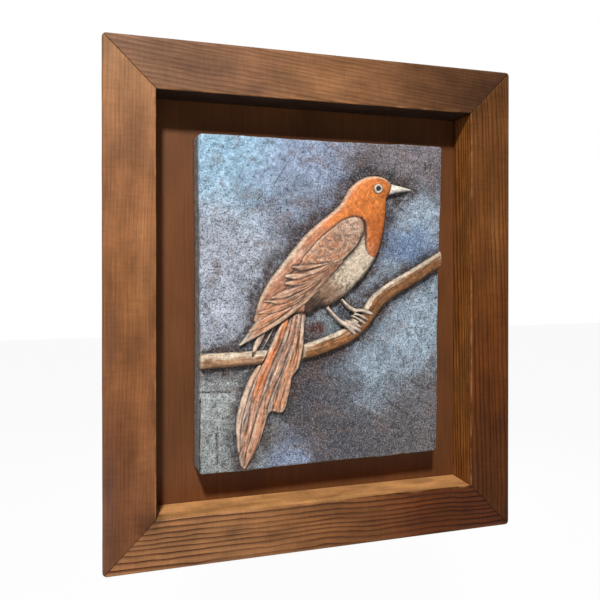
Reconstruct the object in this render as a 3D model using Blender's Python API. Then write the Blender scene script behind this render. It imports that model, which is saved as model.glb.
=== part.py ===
"""A framed relief panel: a cast tile with a bird on a branch, on a board in a mitred wooden frame.

Metres, +Z up, +X to the viewer's right, +Y into the wall. The origin is the middle of the panel's
back, where it meets the wall.
"""

import math

import bmesh
import bpy
import numpy as np
from mathutils import Vector
from mathutils.geometry import delaunay_2d_cdt

# Driving dimensions, in metres.
TILE_WIDTH = 0.1625
TILE_HEIGHT = 0.2070
TILE_THICKNESS = 0.0202
TILE_OFFSET_RIGHT = 0.0014
TILE_OFFSET_UP = 0.0002
TILE_CORNER_RADIUS = 0.0022
TILE_ARRIS = 0.0013
TILE_DRAFT = 0.0010
SHOWING_AT_SIDES = 0.0237
SHOWING_AT_ENDS = 0.0240
RAIL_WIDTH = 0.0305
FRAME_DEPTH = 0.0300
REBATE_WIDTH = 0.0080
BOARD_THICKNESS = 0.0065
OUTER_CORNER_RADIUS = 0.0028
OUTER_ARRIS = 0.0018
INNER_ARRIS = 0.0006
BACK_ARRIS = 0.0008
CLEARANCE = 0.0003
FIGURE_HEIGHT = 0.1865
CARVING_DEPTH = 0.0080

# The carving is drawn on a grid of squares, this many to the figure's height, from the tile's middle.
FIGURE_SQUARES = 186.5
SQUARE = FIGURE_HEIGHT / FIGURE_SQUARES

# Fineness of the carved face, in squares.
RING_SPACING = 2.1
FIGURE_SPACING = 2.3
GROUND_SPACING = 9.0
CURVE_STEPS = 5
OUTLINE_STEPS = 96
PLAIN_STRIDE = 8
ARRIS_STEPS = 3
GROOVE_STEPS = 16
CORNER_TURNS = (0.0, 0.3, 0.7, 1.0)

OPENING_WIDTH = TILE_WIDTH + 2 * SHOWING_AT_SIDES
OPENING_HEIGHT = TILE_HEIGHT + 2 * SHOWING_AT_ENDS
FRAME_WIDTH = OPENING_WIDTH + 2 * RAIL_WIDTH
FRAME_HEIGHT = OPENING_HEIGHT + 2 * RAIL_WIDTH
REBATE_DEPTH = BOARD_THICKNESS + CLEARANCE
SPARE = RAIL_WIDTH / 10
TILE_BACK = -(BOARD_THICKNESS + CLEARANCE)
TILE_FACE = TILE_BACK - TILE_THICKNESS


def smooth_closed(points):
    """A closed Catmull-Rom curve through the points. A point given twice makes a sharp corner."""
    p = np.array(points, float)
    before, after, beyond = np.roll(p, 1, 0), np.roll(p, -1, 0), np.roll(p, -2, 0)
    curve = []
    for step in range(CURVE_STEPS):
        t = step / CURVE_STEPS
        curve.append(
            0.5 * (2 * p + (after - before) * t + (2 * before - 5 * p + 4 * after - beyond) * t**2
                   + (3 * p - before - 3 * after + beyond) * t**3)
        )
    ring = np.stack(curve, axis=1).reshape(-1, 2)
    gap = np.linalg.norm(ring - np.roll(ring, 1, 0), axis=1)
    return ring[gap > 1e-6]


def smooth_open(points, count):
    """Evenly counted places along a smooth open curve through the points."""
    p = np.array(points, float)
    p = np.vstack([2 * p[0] - p[1], p, 2 * p[-1] - p[-2]])
    at = np.linspace(0, len(p) - 3, count)
    i = np.minimum(at.astype(int), len(p) - 4)
    t = (at - i)[:, None]
    a, b, c, d = p[i], p[i + 1], p[i + 2], p[i + 3]
    return 0.5 * (2 * b + (c - a) * t + (2 * a - 5 * b + 4 * c - d) * t**2 + (3 * b - a - 3 * c + d) * t**3)


def ribbon(spine, half_widths, count=18):
    """The outline of a band with the given half width at even places along its spine."""
    line = smooth_open(spine, count)
    ahead = np.gradient(line, axis=0)
    side = np.stack([ahead[:, 1], -ahead[:, 0]], axis=1) / np.linalg.norm(ahead, axis=1)[:, None]
    places = np.linspace(0, 1, len(half_widths))
    half = np.interp(np.linspace(0, 1, count), places, half_widths)[:, None]
    return np.vstack([line + side * half, (line - side * half)[::-1]])


def distance_to_line(points, line, closed=False):
    """How far each point is from a line of straight pieces."""
    start = line if closed else line[:-1]
    end = np.roll(line, -1, 0) if closed else line[1:]
    run = end - start
    length2 = np.maximum((run**2).sum(1), 1e-12)
    to = points[:, None, :] - start[None]
    t = np.clip((to * run).sum(2) / length2, 0, 1)
    return np.sqrt(((to - t[..., None] * run) ** 2).sum(2).min(1))


def inside_distance(points, ring):
    """Distance in from a closed outline, below zero outside it."""
    a, b = ring, np.roll(ring, -1, 0)
    px, pz = points[:, :1], points[:, 1:]
    crosses = (a[:, 1] > pz) != (b[:, 1] > pz)
    rise = np.where(b[:, 1] == a[:, 1], 1e-12, b[:, 1] - a[:, 1])
    hit = px < a[:, 0] + (pz - a[:, 1]) * (b[:, 0] - a[:, 0]) / rise
    inside = (crosses & hit).sum(1) % 2 == 1
    return np.where(inside, 1, -1) * distance_to_line(points, ring, closed=True)


def rounded(d, radius, power=2.4):
    """0 at an edge, rising steeply and levelling off to 1 at the radius."""
    t = np.clip(d / radius, 0, 1)
    return (1 - (1 - t) ** power) ** (1 / power)


def along(points, start, end):
    """0 at the start and 1 at the end of a straight line, beyond it too."""
    start, run = np.array(start, float), np.array(end, float) - np.array(start, float)
    return (points - start) @ run / (run @ run)


class Layer:
    """One raised form: its outline, its height at each point, and how its edges fall away."""

    def __init__(self, outline, top, dip, radius, edge=0.3, insets=(0.0, 0.5), grooves=()):
        self.outline = outline
        self.top = top
        self.dip = dip
        self.radius = radius
        self.edge = edge
        self.insets = insets
        self.grooves = grooves

    def over(self, points, height):
        reach = (points > self.outline.min(0)) & (points < self.outline.max(0))
        near = np.flatnonzero(reach.all(1))
        if not len(near):
            return height
        d = inside_distance(points[near], self.outline)
        top = self.top(points[near]) - self.dip * (1 - rounded(d, self.radius))
        blend = np.clip(d / self.edge, 0, 1)
        height[near] += (top - height[near]) * blend
        return height


def level(value):
    return lambda points: np.full(len(points), float(value))


def slope(start, end, heights):
    """A height that follows the given values along a straight line."""
    places = np.linspace(0, 1, len(heights))
    return lambda points: np.interp(along(points, start, end), places, heights)


# Heights below are in shares of the carving's depth.
BRANCH = ribbon(
    [(-92, -36.0), (-50, -34.6), (-30, -33.8), (-12, -31.2), (2, -27.0), (15, -21.6),
     (24, -14.4), (29.5, -7.4), (36, 0.6), (48, 8.6), (64, 17.2), (94, 34.4)],
    [5.0, 4.5, 4.5, 4.9, 5.1, 5.3, 5.4, 5.2, 5.2, 5.1, 5.0, 4.9],
    count=60,
)
HEAD_AND_BODY = smooth_closed([
    (44.6, 76.0), (42.6, 78.6), (39.4, 80.6), (34.4, 81.6), (29.2, 81.2), (24.6, 79.6), (20.4, 77.0),
    (16.6, 73.6), (12.8, 68.2), (8.2, 61.2), (0, 54.3), (-8.4, 47.6), (-16.6, 39.6), (-23.8, 31.0),
    (-30.8, 22.2), (-37.8, 13.2), (-43.6, 2.6), (-46.6, -7.0), (-47.0, -13.0), (-40, -14), (-26, -9.0),
    (-16, -7.6), (-11, -8.2), (-7.8, -5.0), (-4, -3.3), (0.4, -3.4), (4.2, -1.8), (8.6, 1.2), (12.8, 4.2),
    (19.2, 10.2), (24.0, 14.8), (28.0, 19.4), (31.2, 24.0), (34.0, 28.4), (36.2, 33.6), (38.0, 40.0),
    (39.6, 47.6), (40.6, 55.0), (41.2, 62.0), (41.2, 66.6), (43.0, 69.6),
])
WING = smooth_closed([
    (18.1, 54.4), (12.9, 53.5), (8.3, 51.7), (3.7, 48.3), (-4.3, 42.0), (-9.4, 37.2), (-13.4, 31.8),
    (-17.6, 26.2), (-24.0, 19.4), (-26.0, 12.6), (-32.4, 5.6), (-38.6, 0.2), (-42.4, -5.4), (-47.6, -13.8),
    (-52.4, -20.2), (-56.0, -26.0), (-56.0, -26.0), (-51.0, -23.8), (-43.0, -18.2), (-31.9, -9.8),
    (-20.5, -0.6), (-11.4, 7.0), (-2.3, 15.8), (7.9, 25.0), (13.8, 30.2), (19.4, 36.4), (23.0, 43.6),
    (24.0, 47.2), (23.4, 50.8), (21.2, 53.4),
])
COVERTS = smooth_closed([
    (18.1, 53.6), (12.9, 52.7), (8.3, 50.7), (3.7, 47.3), (-4.0, 41.0), (-9.6, 36.2), (-13.6, 31.8),
    (-17.2, 27.8), (-17.8, 25.2), (-14.4, 23.6), (-8.0, 23.4), (-2.0, 24.2), (3.4, 25.6), (8.6, 28.2),
    (13.6, 32.0), (18.8, 37.4), (22.2, 43.8), (23.1, 47.2), (22.6, 50.3), (20.8, 52.6),
])
BEAK = smooth_closed([
    (42.0, 77.4), (46.0, 76.5), (51.0, 75.6), (56.4, 74.6), (60.2, 73.6), (60.6, 73.0), (59.8, 72.7),
    (55.0, 71.9), (49.0, 70.9), (43.4, 69.4), (40.0, 69.6), (40.0, 76.0),
])
EYE = (33.8, 72.8)
EYE_RADIUS = 3.2
PUPIL_RADIUS = 1.9

# Lines cut into the forms under them: places along each line, depth and half width.
BIB_EDGE = [(22.6, 53.4), (24.8, 50.4), (25.4, 45.4), (25.2, 39.4), (25.6, 34.0), (27.4, 29.8), (33.6, 27.8)]
BODY_GROOVES = [(BIB_EDGE, 0.13, 0.9)]

TAIL = smooth_closed([
    (-13.8, -8.4), (-14.2, -16), (-15.0, -26), (-16.2, -36), (-18.8, -42.6), (-22.4, -48), (-24.4, -58),
    (-26.8, -66.6), (-28.8, -69.2), (-32.0, -69.8), (-35.6, -68.4), (-38.4, -71.4), (-41.2, -80),
    (-45.4, -88), (-50.6, -98.0), (-54.0, -102.4), (-56.4, -98.6), (-58.2, -86), (-58.2, -77), (-55.4, -64.6),
    (-50.6, -53.4), (-44.6, -41), (-38, -29), (-31.8, -18.4), (-26, -9.4), (-20, -5.0),
])

# Feathers of the tail, each with its spine, its half widths from root to tip, height and dip.
TAIL_FEATHERS = [
    ([(-41, -18), (-44.6, -25), (-48.8, -33.6)], [1.6, 2.2, 2.0, 0.6], 0.26, 0.20),
    ([(-33, -12.6), (-37, -20.5), (-42, -30)], [0.8, 0.9, 0.3], 0.22, 0.16),
    ([(-43, -38), (-49.4, -50), (-54.2, -63), (-56.8, -76), (-56.6, -92)], [1.2, 2.0, 2.1, 1.9, 0.6],
     0.33, 0.18),
    ([(-36.8, -50), (-40.6, -62), (-44.0, -76), (-47.6, -88), (-53.4, -103.0)],
     [0.8, 2.6, 3.6, 3.8, 3.4, 1.0], 0.42, 0.24),
    ([(-26.4, -9), (-33.0, -26), (-41.0, -43), (-46.4, -60), (-50.2, -78), (-54.6, -98)],
     [1.8, 2.9, 3.3, 3.2, 2.7, 1.9, 0.6], 0.46, 0.26),
    ([(-21.6, -8), (-24.4, -22), (-29.4, -36), (-34.4, -48), (-38.8, -60), (-41.2, -70)],
     [1.4, 2.2, 2.4, 2.4, 2.0, 0.6], 0.43, 0.24),
    ([(-18.4, -24), (-20.6, -36), (-24.8, -46), (-27.8, -58), (-30.4, -69.4)], [1.2, 1.9, 2.1, 2.1, 2.3, 1.5],
     0.40, 0.22),
    ([(-18.4, -8), (-20.6, -24), (-24.4, -38), (-29.0, -50), (-32.8, -61), (-34.6, -68.6)],
     [1.4, 2.0, 2.2, 2.5, 2.7, 1.8], 0.46, 0.24),
    ([(-16.0, -8), (-16.8, -20), (-17.8, -31), (-20.0, -42.6)], [1.2, 1.5, 1.6, 1.5, 0.7], 0.50, 0.20),
]

# Feathers of the wing, lowest first: spine, half widths from root to tip, and height.
WING_FEATHERS = [
    ([(9, 26.6), (0, 17.4), (-12, 6.0), (-26, -5), (-40.4, -14.6), (-56.6, -26.6)],
     [1.2, 1.5, 2.2, 3.6, 4.4, 3.6, 0.7], 0.00),
    ([(-24, -3), (-34, -8.2), (-42, -12.4), (-50.6, -18)], [1.0, 2.6, 3.4, 2.8, 0.5], 0.03),
    ([(7, 25.4), (-3, 16.4), (-14, 6.6), (-25, -0.4), (-35, -4.2), (-45.4, -6.8)],
     [1.0, 1.4, 1.8, 2.3, 2.7, 2.4, 0.6], 0.03),
    ([(5, 25), (-5, 15.8), (-14, 8.6), (-24, 2.8), (-33, 0.5), (-41.6, 0.9)],
     [0.9, 1.2, 1.4, 1.6, 1.8, 0.6], 0.05),
    ([(3, 24.3), (-6, 16.4), (-16, 9.8), (-25, 6.4), (-31, 4.4), (-37.4, 2.6)],
     [1.0, 1.5, 1.9, 2.6, 2.6, 0.7], 0.07),
    ([(1, 23.8), (-6, 18.2), (-14, 14.2), (-22, 12.2), (-28.8, 11.6)], [0.9, 1.4, 1.7, 1.9, 1.8, 1.0], 0.08),
    ([(0, 24), (-7, 20.2), (-14, 17.6), (-21, 16.3), (-28.6, 16.2)], [0.8, 1.5, 1.9, 2.3, 2.2, 0.9], 0.09),
    ([(3, 26), (-5, 23.6), (-13, 22.0), (-19, 21.4), (-24.2, 22.0)], [0.8, 1.2, 1.6, 1.8, 0.8], 0.09),
]

# Legs and toes: spine, half widths and height at the body and at the claw.
LEGS = [
    ([(0.0, -3.4), (5.2, -9.6), (9.8, -13.6), (13.4, -15.0)], [1.2, 1.2, 1.6, 2.2], 0.42, 0.66),
    ([(12.4, -15.4), (15.8, -18.2), (18.8, -21.4)], [1.5, 1.5, 0.9], 0.68, 0.66),
    ([(12.6, -13.0), (17.4, -14.2), (22.8, -17.0)], [1.2, 1.2, 0.8], 0.69, 0.68),
    ([(12.8, -14.6), (17.6, -16.8), (22.4, -19.6)], [1.6, 1.6, 1.0], 0.71, 0.69),
    ([(9.8, 1.4), (14.6, -3.6), (19.6, -6.6)], [1.0, 1.3, 1.7], 0.40, 0.62),
    ([(16.6, -11.8), (18.6, -12.8), (20.6, -13.9)], [1.0, 1.3, 0.8], 0.69, 0.69),
    ([(16.8, -9.4), (21.0, -11.8), (25.8, -14.8)], [1.0, 1.0, 0.7], 0.67, 0.67),
    ([(18.0, -8.0), (22.4, -9.6), (27.2, -12.2)], [1.1, 1.1, 0.7], 0.69, 0.68),
    ([(18.0, -6.4), (23.0, -6.2), (27.0, -7.2), (30.8, -8.6)], [1.2, 1.3, 1.3, 0.9], 0.71, 0.69),
]

HEAD_MIDDLE = (33, 70)
WING_TIP = (-56.8, -26.8)
TAIL_ROOT = (-19, -8)
TAIL_TIP = (-53.8, -103.4)


def carving_layers():
    """All raised forms, lowest first. Each hides what is under it."""
    layers = [Layer(BRANCH, level(0.56), 0.56, 4.2, 0.25, (0.0, 0.5, 1.7))]
    tail_top = slope(TAIL_ROOT, TAIL_TIP, [0.38, 0.38, 0.34, 0.20])
    layers.append(Layer(TAIL, tail_top, 0.38, 3.0, 0.3, (0.0, 0.6)))
    for spine, half_widths, rise, dip in TAIL_FEATHERS:
        top = slope(TAIL_ROOT, TAIL_TIP, [rise, rise, rise * 0.82, rise * 0.6])
        layers.append(Layer(ribbon(spine, half_widths), top, dip, max(half_widths), 0.4, (0.0, 0.5, 1.6)))
    body_top = slope(HEAD_MIDDLE, WING_TIP, [0.74, 0.76, 0.80, 0.74, 0.62, 0.46])
    layers.append(Layer(BEAK, slope((42, 73), (59, 73), [0.50, 0.42, 0.22]), 0.26, 2.4, 0.4))
    layers.append(Layer(HEAD_AND_BODY, body_top, 0.72, 9.0, 0.3, (0.0, 0.45, 1.7, 4.0), BODY_GROOVES))
    wing_top = slope(HEAD_MIDDLE, WING_TIP, [0.98, 1.0, 0.98, 0.86, 0.66, 0.34])
    layers.append(Layer(WING, lambda points: wing_top(points) - 0.06, 0.14, 3.4, 0.9, (0.0, 0.9)))
    for spine, half_widths, lift in WING_FEATHERS:
        top = lambda points, lift=lift: wing_top(points) + lift - 0.04
        radius = max(half_widths) * 0.9
        layers.append(Layer(ribbon(spine, half_widths), top, 0.18, radius, 0.4, (0.0, 0.5, 1.4)))
    layers.append(Layer(COVERTS, lambda points: wing_top(points) + 0.02, 0.16, 6.0, 0.6, (0.0, 0.7)))
    ring = [(EYE[0] + EYE_RADIUS * math.cos(a), EYE[1] + EYE_RADIUS * math.sin(a))
            for a in np.linspace(0, 2 * math.pi, 16, endpoint=False)]
    pupil = [(EYE[0] + PUPIL_RADIUS * math.cos(a), EYE[1] + PUPIL_RADIUS * math.sin(a))
             for a in np.linspace(0, 2 * math.pi, 12, endpoint=False)]
    layers.append(Layer(np.array(ring), level(0.83), 0.10, 1.0, 0.3, (0.0, 0.7)))
    layers.append(Layer(np.array(pupil), level(0.80), 0.10, 1.2, 0.3, (0.0, 0.8)))
    for spine, half_widths, start, end in LEGS:
        top = slope(spine[0], spine[-1], [start, end])
        layers.append(Layer(ribbon(spine, half_widths, count=9), top, 0.14, 1.4, 0.4, (0.0, 0.5)))
    return layers


def carved_height(points, layers):
    """Height of the carving above the tile's ground, in metres, at places given in squares."""
    height = np.zeros(len(points))
    for number, layer in enumerate(layers):
        height = layer.over(points, height)
        for line, depth, half_width in layer.grooves:
            away = distance_to_line(points, smooth_open(line, 30))
            height -= depth * np.exp(-((away / half_width) ** 2))
    return np.maximum(height, 0) * CARVING_DEPTH


def tile_outline(inset=0.0):
    """The slab's hand-made outline: nearly square, a little wider at its top, with soft corners."""
    half_w, half_h = TILE_WIDTH / 2, TILE_HEIGHT / 2
    lean, sag = 0.012 * TILE_WIDTH, 0.003 * TILE_HEIGHT
    corners = [
        Vector((-half_w + 0.1 * sag, -half_h - 1.6 * sag)),
        Vector((half_w - lean, -half_h + 1.6 * sag)),
        Vector((half_w + lean, half_h + 0.6 * sag)),
        Vector((-half_w, half_h - 0.5 * sag)),
    ]
    bows = [0.4, -0.9, -0.6, -1.0]
    waves = [1.0, 0.5, 0.8, 0.3]
    ring = []
    for i, corner in enumerate(corners):
        after = corners[(i + 1) % 4]
        before = corners[i - 1]
        into = (corner - before).normalized()
        out = (after - corner).normalized()
        for turn in CORNER_TURNS:
            pull = TILE_CORNER_RADIUS * (1 - math.sin(turn * math.pi / 2))
            push = TILE_CORNER_RADIUS * (1 - math.cos(turn * math.pi / 2))
            ring.append(corner - into * pull + out * push)
        side = Vector((out.y, -out.x))
        run = (after - corner).length
        for step in range(1, OUTLINE_STEPS):
            t = step / OUTLINE_STEPS
            bulge = sag * (bows[i] * math.sin(math.pi * t) + waves[i] * math.sin(3 * math.pi * t) * 0.5)
            ring.append(corner + out * run * t + side * bulge)
    ring = np.array([tuple(p) for p in ring])
    if inset:
        ahead = np.roll(ring, -1, 0) - np.roll(ring, 1, 0)
        inward = np.stack([-ahead[:, 1], ahead[:, 0]], axis=1) / np.linalg.norm(ahead, axis=1)[:, None]
        ring = ring + inward * inset
    return ring


def inset_ring(outline, inset, spacing):
    """The outline moved inwards, at even spacing. Places too near another side are left out."""
    length = np.linalg.norm(np.roll(outline, -1, 0) - outline, axis=1)
    total = length.sum()
    if total < 3 * spacing:
        return np.empty((0, 2))
    closed = np.vstack([outline, outline[:1]])
    at = np.concatenate([[0], np.cumsum(length)])
    places = np.linspace(0, total, max(8, int(round(total / spacing))), endpoint=False)
    ring = np.stack([np.interp(places, at, closed[:, k]) for k in (0, 1)], axis=1)
    if not inset:
        return ring
    ahead = np.roll(ring, -1, 0) - np.roll(ring, 1, 0)
    inward = np.stack([-ahead[:, 1], ahead[:, 0]], axis=1) / np.linalg.norm(ahead, axis=1)[:, None]
    area = 0.5 * np.sum(ring[:, 0] * np.roll(ring[:, 1], -1) - np.roll(ring[:, 0], -1) * ring[:, 1])
    moved = ring + inward * inset * np.sign(area)
    keep = inside_distance(moved, outline) > 0.85 * inset
    moved[~keep] = np.nan
    return moved


def beside(line, offset):
    """An open line moved to one side."""
    ahead = np.gradient(line, axis=0)
    side = np.stack([-ahead[:, 1], ahead[:, 0]], axis=1) / np.linalg.norm(ahead, axis=1)[:, None]
    return line + side * offset


def uncovered(ring, above):
    """Whether each place of a ring shows, with nothing laid over it."""
    shows = ~np.isnan(ring[:, 0])
    for layer in above:
        near = shows & (np.nan_to_num(ring) > layer.outline.min(0)).all(1)
        near &= (np.nan_to_num(ring) < layer.outline.max(0)).all(1)
        if near.any():
            shows[near] &= inside_distance(ring[near], layer.outline) < 0.3
    return shows


def face_points(layers, border):
    """Points and edges of the carved face, in squares: borders, outlines of forms, then a filling."""
    points = []
    edges = []
    for ring in border:
        start = len(points)
        points.extend(ring)
        edges += [(start + i, start + (i + 1) % len(ring)) for i in range(len(ring))]
    limit = border[-1]
    for number, layer in enumerate(layers):
        lines = [inset_ring(layer.outline, inset, RING_SPACING) for inset in layer.insets]
        for path, _, half_width in layer.grooves:
            cut = smooth_open(path, GROOVE_STEPS)
            lines += [beside(cut, side * half_width) for side in (-1, 0, 1)]
        for line in lines:
            if not len(line):
                continue
            shows = uncovered(line, layers[number + 1:])
            shows[shows] &= inside_distance(line[shows], limit) > 0.4
            index = {}
            for i in np.flatnonzero(shows):
                index[i] = len(points)
                points.append(line[i])
            ends = ((i, (i + 1) % len(line)) for i in index)
            edges += [(index[i], index[j]) for i, j in ends
                      if j in index and np.linalg.norm(line[i] - line[j]) < 3 * RING_SPACING]
    fixed = np.array(points)
    for spacing, clear, on_figure in ((FIGURE_SPACING, 1.0, True), (GROUND_SPACING, 3.6, False)):
        low, high = limit.min(0), limit.max(0)
        rows = np.arange(low[1], high[1], spacing * 0.866)
        grid = [(x + (row % 2) * spacing / 2, z) for row, z in enumerate(rows)
                for x in np.arange(low[0], high[0], spacing)]
        grid = np.array(grid)
        grid = grid[inside_distance(grid, limit) > spacing * 0.3]
        raised = carved_height(grid, layers) > 0.02 * CARVING_DEPTH
        grid = grid[raised == on_figure]
        apart = np.sqrt(((grid[:, None] - fixed[None]) ** 2).sum(2).min(1))
        points.extend(grid[apart > clear])
    return np.array(points), edges


def surface_depth(points, layers, outline):
    """How far the carved face stands in front of the tile's ground, in metres, rounded at its rim."""
    d = inside_distance(points, outline / SQUARE) * SQUARE
    rim = rounded(np.maximum(d, 0), TILE_ARRIS, 2.0)
    return carved_height(points, layers) * rim - TILE_ARRIS * (1 - rim)


def new_object(name, bm, colour, roughness):
    bmesh.ops.recalc_face_normals(bm, faces=bm.faces)
    mesh = bpy.data.meshes.new(name)
    bm.to_mesh(mesh)
    bm.free()
    piece = bpy.data.objects.new(name, mesh)
    bpy.context.scene.collection.objects.link(piece)
    material = bpy.data.materials.new(name + "_finish")
    material.use_nodes = True
    shader = material.node_tree.nodes["Principled BSDF"]
    shader.inputs["Base Color"].default_value = (*colour, 1)
    shader.inputs["Roughness"].default_value = roughness
    shader.inputs["Metallic"].default_value = 0
    mesh.materials.append(material)
    return piece


def make_relief_tile():
    layers = carving_layers()
    outline = tile_outline()
    fine = carved_height(outline / SQUARE, layers) > 0
    fine |= np.roll(fine, 2) | np.roll(fine, -2)
    fine |= np.arange(len(outline)) % PLAIN_STRIDE == 0
    fine |= np.arange(len(outline)) % (OUTLINE_STEPS - 1 + len(CORNER_TURNS)) < len(CORNER_TURNS)
    border = [tile_outline(inset)[fine] / SQUARE for inset in (0.0, 0.3 * TILE_ARRIS, TILE_ARRIS)]
    points, edges = face_points(layers, border)
    corners, _, triangles, _, _, _ = delaunay_2d_cdt([Vector(p) for p in points], edges, [], 1, 0.02)
    places = np.array([tuple(c) for c in corners])
    depth = surface_depth(places, layers, outline)
    bm = bmesh.new()
    for (x, z), d in zip(places * SQUARE, depth):
        bm.verts.new((x + TILE_OFFSET_RIGHT, TILE_FACE - d, z + TILE_OFFSET_UP))
    bm.verts.ensure_lookup_table()
    for triangle in triangles:
        bm.faces.new([bm.verts[i] for i in triangle])
    rim = [edge for edge in bm.edges if edge.is_boundary]
    made = bmesh.ops.extrude_edge_only(bm, edges=rim)["geom"]
    foot = [v for v in made if isinstance(v, bmesh.types.BMVert)]
    spread = (1 + 2 * TILE_DRAFT / TILE_WIDTH, 1 + 2 * TILE_DRAFT / TILE_HEIGHT)
    for vert in foot:
        vert.co.x = TILE_OFFSET_RIGHT + (vert.co.x - TILE_OFFSET_RIGHT) * spread[0]
        vert.co.z = TILE_OFFSET_UP + (vert.co.z - TILE_OFFSET_UP) * spread[1]
        vert.co.y = TILE_BACK
    back_rim = [edge for edge in bm.edges if edge.is_boundary]
    bmesh.ops.contextual_create(bm, geom=back_rim)
    bmesh.ops.triangulate(bm, faces=[face for face in bm.faces if len(face.verts) > 3])
    return new_object("relief_tile", bm, (0.30, 0.32, 0.40), 0.6)


def make_frame_outside():
    """The block that the joined frame is rounded to: soft corners, a soft front arris, a crisp back."""
    bm = bmesh.new()
    bmesh.ops.create_cube(bm, size=1)
    bmesh.ops.scale(bm, verts=bm.verts, vec=(FRAME_WIDTH, FRAME_DEPTH, FRAME_HEIGHT))
    bmesh.ops.translate(bm, verts=bm.verts, vec=(0, -FRAME_DEPTH / 2, 0))

    def at_corner(edge):
        return abs(edge.verts[0].co.y - edge.verts[1].co.y) > FRAME_DEPTH / 2

    def at_level(y):
        return lambda edge: all(abs(vert.co.y - y) < CLEARANCE / 10 for vert in edge.verts)

    for chosen, radius, segments in (
        (at_corner, OUTER_CORNER_RADIUS, 4),
        (at_level(-FRAME_DEPTH), OUTER_ARRIS, 4),
        (at_level(0), BACK_ARRIS, 2),
    ):
        edges = [edge for edge in bm.edges if chosen(edge)]
        bmesh.ops.bevel(
            bm, geom=edges, offset=radius, offset_type="OFFSET", segments=segments,
            profile=0.5, affect="EDGES", material=-1, clamp_overlap=True,
        )
    outside = new_object("frame_outside", bm, (0.2, 0.2, 0.2), 0.5)
    outside.hide_render = True
    outside.display_type = "WIRE"
    return outside


def make_rail(name, length, place, turn, colour, outside):
    """A rail with a rebate along its back, mitred at both ends, laid below the place and turned to it."""
    half = length / 2
    bm = bmesh.new()
    turns = [math.pi / 2 * step / ARRIS_STEPS for step in range(ARRIS_STEPS + 1)]
    corner = RAIL_WIDTH - INNER_ARRIS, INNER_ARRIS - FRAME_DEPTH
    arris = [(corner[0] + INNER_ARRIS * math.sin(a), corner[1] - INNER_ARRIS * math.cos(a)) for a in turns]
    profile = [
        (-SPARE, SPARE), (-SPARE, -FRAME_DEPTH - SPARE), (RAIL_WIDTH - INNER_ARRIS, -FRAME_DEPTH - SPARE),
        *arris,
        (RAIL_WIDTH, -REBATE_DEPTH), (RAIL_WIDTH - REBATE_WIDTH, -REBATE_DEPTH),
        (RAIL_WIDTH - REBATE_WIDTH, SPARE),
    ]
    verts = [bm.verts.new((-half, y, -across)) for across, y in profile]
    bm.faces.new(verts)
    far = bmesh.ops.extrude_face_region(bm, geom=list(bm.faces))["geom"]
    bmesh.ops.translate(bm, verts=[v for v in far if isinstance(v, bmesh.types.BMVert)], vec=(length, 0, 0))
    gap = CLEARANCE / 2 * math.sqrt(2)
    for vert in bm.verts:
        end = math.copysign(1, vert.co.x)
        vert.co.x -= end * (-vert.co.z + gap)
    rail = new_object(name, bm, colour, 0.5)
    rail.location = (place[0], 0, place[1])
    rail.rotation_euler = (0, turn, 0)
    rounding = rail.modifiers.new("round_the_outside", "BOOLEAN")
    rounding.operation = "INTERSECT"
    rounding.solver = "EXACT"
    rounding.object = outside


def make_frame():
    outside = make_frame_outside()
    top, side = FRAME_HEIGHT / 2, FRAME_WIDTH / 2
    make_rail("frame_top_rail", FRAME_WIDTH, (0, top), 0, (0.22, 0.10, 0.05), outside)
    make_rail("frame_bottom_rail", FRAME_WIDTH, (0, -top), math.pi, (0.14, 0.05, 0.02), outside)
    make_rail("frame_right_stile", FRAME_HEIGHT, (side, 0), math.pi / 2, (0.11, 0.04, 0.02), outside)
    make_rail("frame_left_stile", FRAME_HEIGHT, (-side, 0), -math.pi / 2, (0.28, 0.13, 0.06), outside)


def make_back_board():
    """A flat board in the frame's rebate, with its back flush with the frame's."""
    reach = 2 * (REBATE_WIDTH - CLEARANCE)
    bm = bmesh.new()
    bmesh.ops.create_cube(bm, size=1)
    bmesh.ops.scale(bm, verts=bm.verts, vec=(OPENING_WIDTH + reach, BOARD_THICKNESS, OPENING_HEIGHT + reach))
    bmesh.ops.translate(bm, verts=bm.verts, vec=(0, -BOARD_THICKNESS / 2, 0))
    return new_object("back_board", bm, (0.18, 0.07, 0.03), 0.6)


def main():
    for old in list(bpy.data.objects):
        bpy.data.objects.remove(old, do_unlink=True)
    make_frame()
    make_back_board()
    make_relief_tile()


main()
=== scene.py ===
"""Looks of a framed relief panel: a cast and painted tile of a bird on a branch, in a stained wooden frame.

Metres, +Z up, +Y into the wall. The carving is drawn in squares of about a millimetre from the
tile's middle, as the solid's is, and its paint is worked out from the same outlines.
"""

import math
from collections import namedtuple

import bmesh
import bpy
import numpy as np
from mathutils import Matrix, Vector


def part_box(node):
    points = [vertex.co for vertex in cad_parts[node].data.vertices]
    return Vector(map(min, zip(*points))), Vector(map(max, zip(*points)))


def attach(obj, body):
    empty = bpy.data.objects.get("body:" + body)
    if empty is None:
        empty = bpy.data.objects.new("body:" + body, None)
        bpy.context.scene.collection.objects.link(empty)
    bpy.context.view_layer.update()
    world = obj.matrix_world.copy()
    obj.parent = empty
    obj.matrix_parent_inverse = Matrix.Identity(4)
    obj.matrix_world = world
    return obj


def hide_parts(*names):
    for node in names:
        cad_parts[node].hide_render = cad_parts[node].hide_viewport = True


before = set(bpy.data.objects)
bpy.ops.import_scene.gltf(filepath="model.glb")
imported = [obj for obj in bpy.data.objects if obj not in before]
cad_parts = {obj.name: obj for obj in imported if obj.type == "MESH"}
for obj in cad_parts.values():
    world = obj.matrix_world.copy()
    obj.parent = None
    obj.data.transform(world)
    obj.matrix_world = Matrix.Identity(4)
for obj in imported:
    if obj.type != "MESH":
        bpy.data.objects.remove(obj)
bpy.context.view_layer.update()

# The solid's sizes in metres, repeated from it, and places read from the frame.
TILE_WIDTH = 0.1625
TILE_HEIGHT = 0.2070
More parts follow.
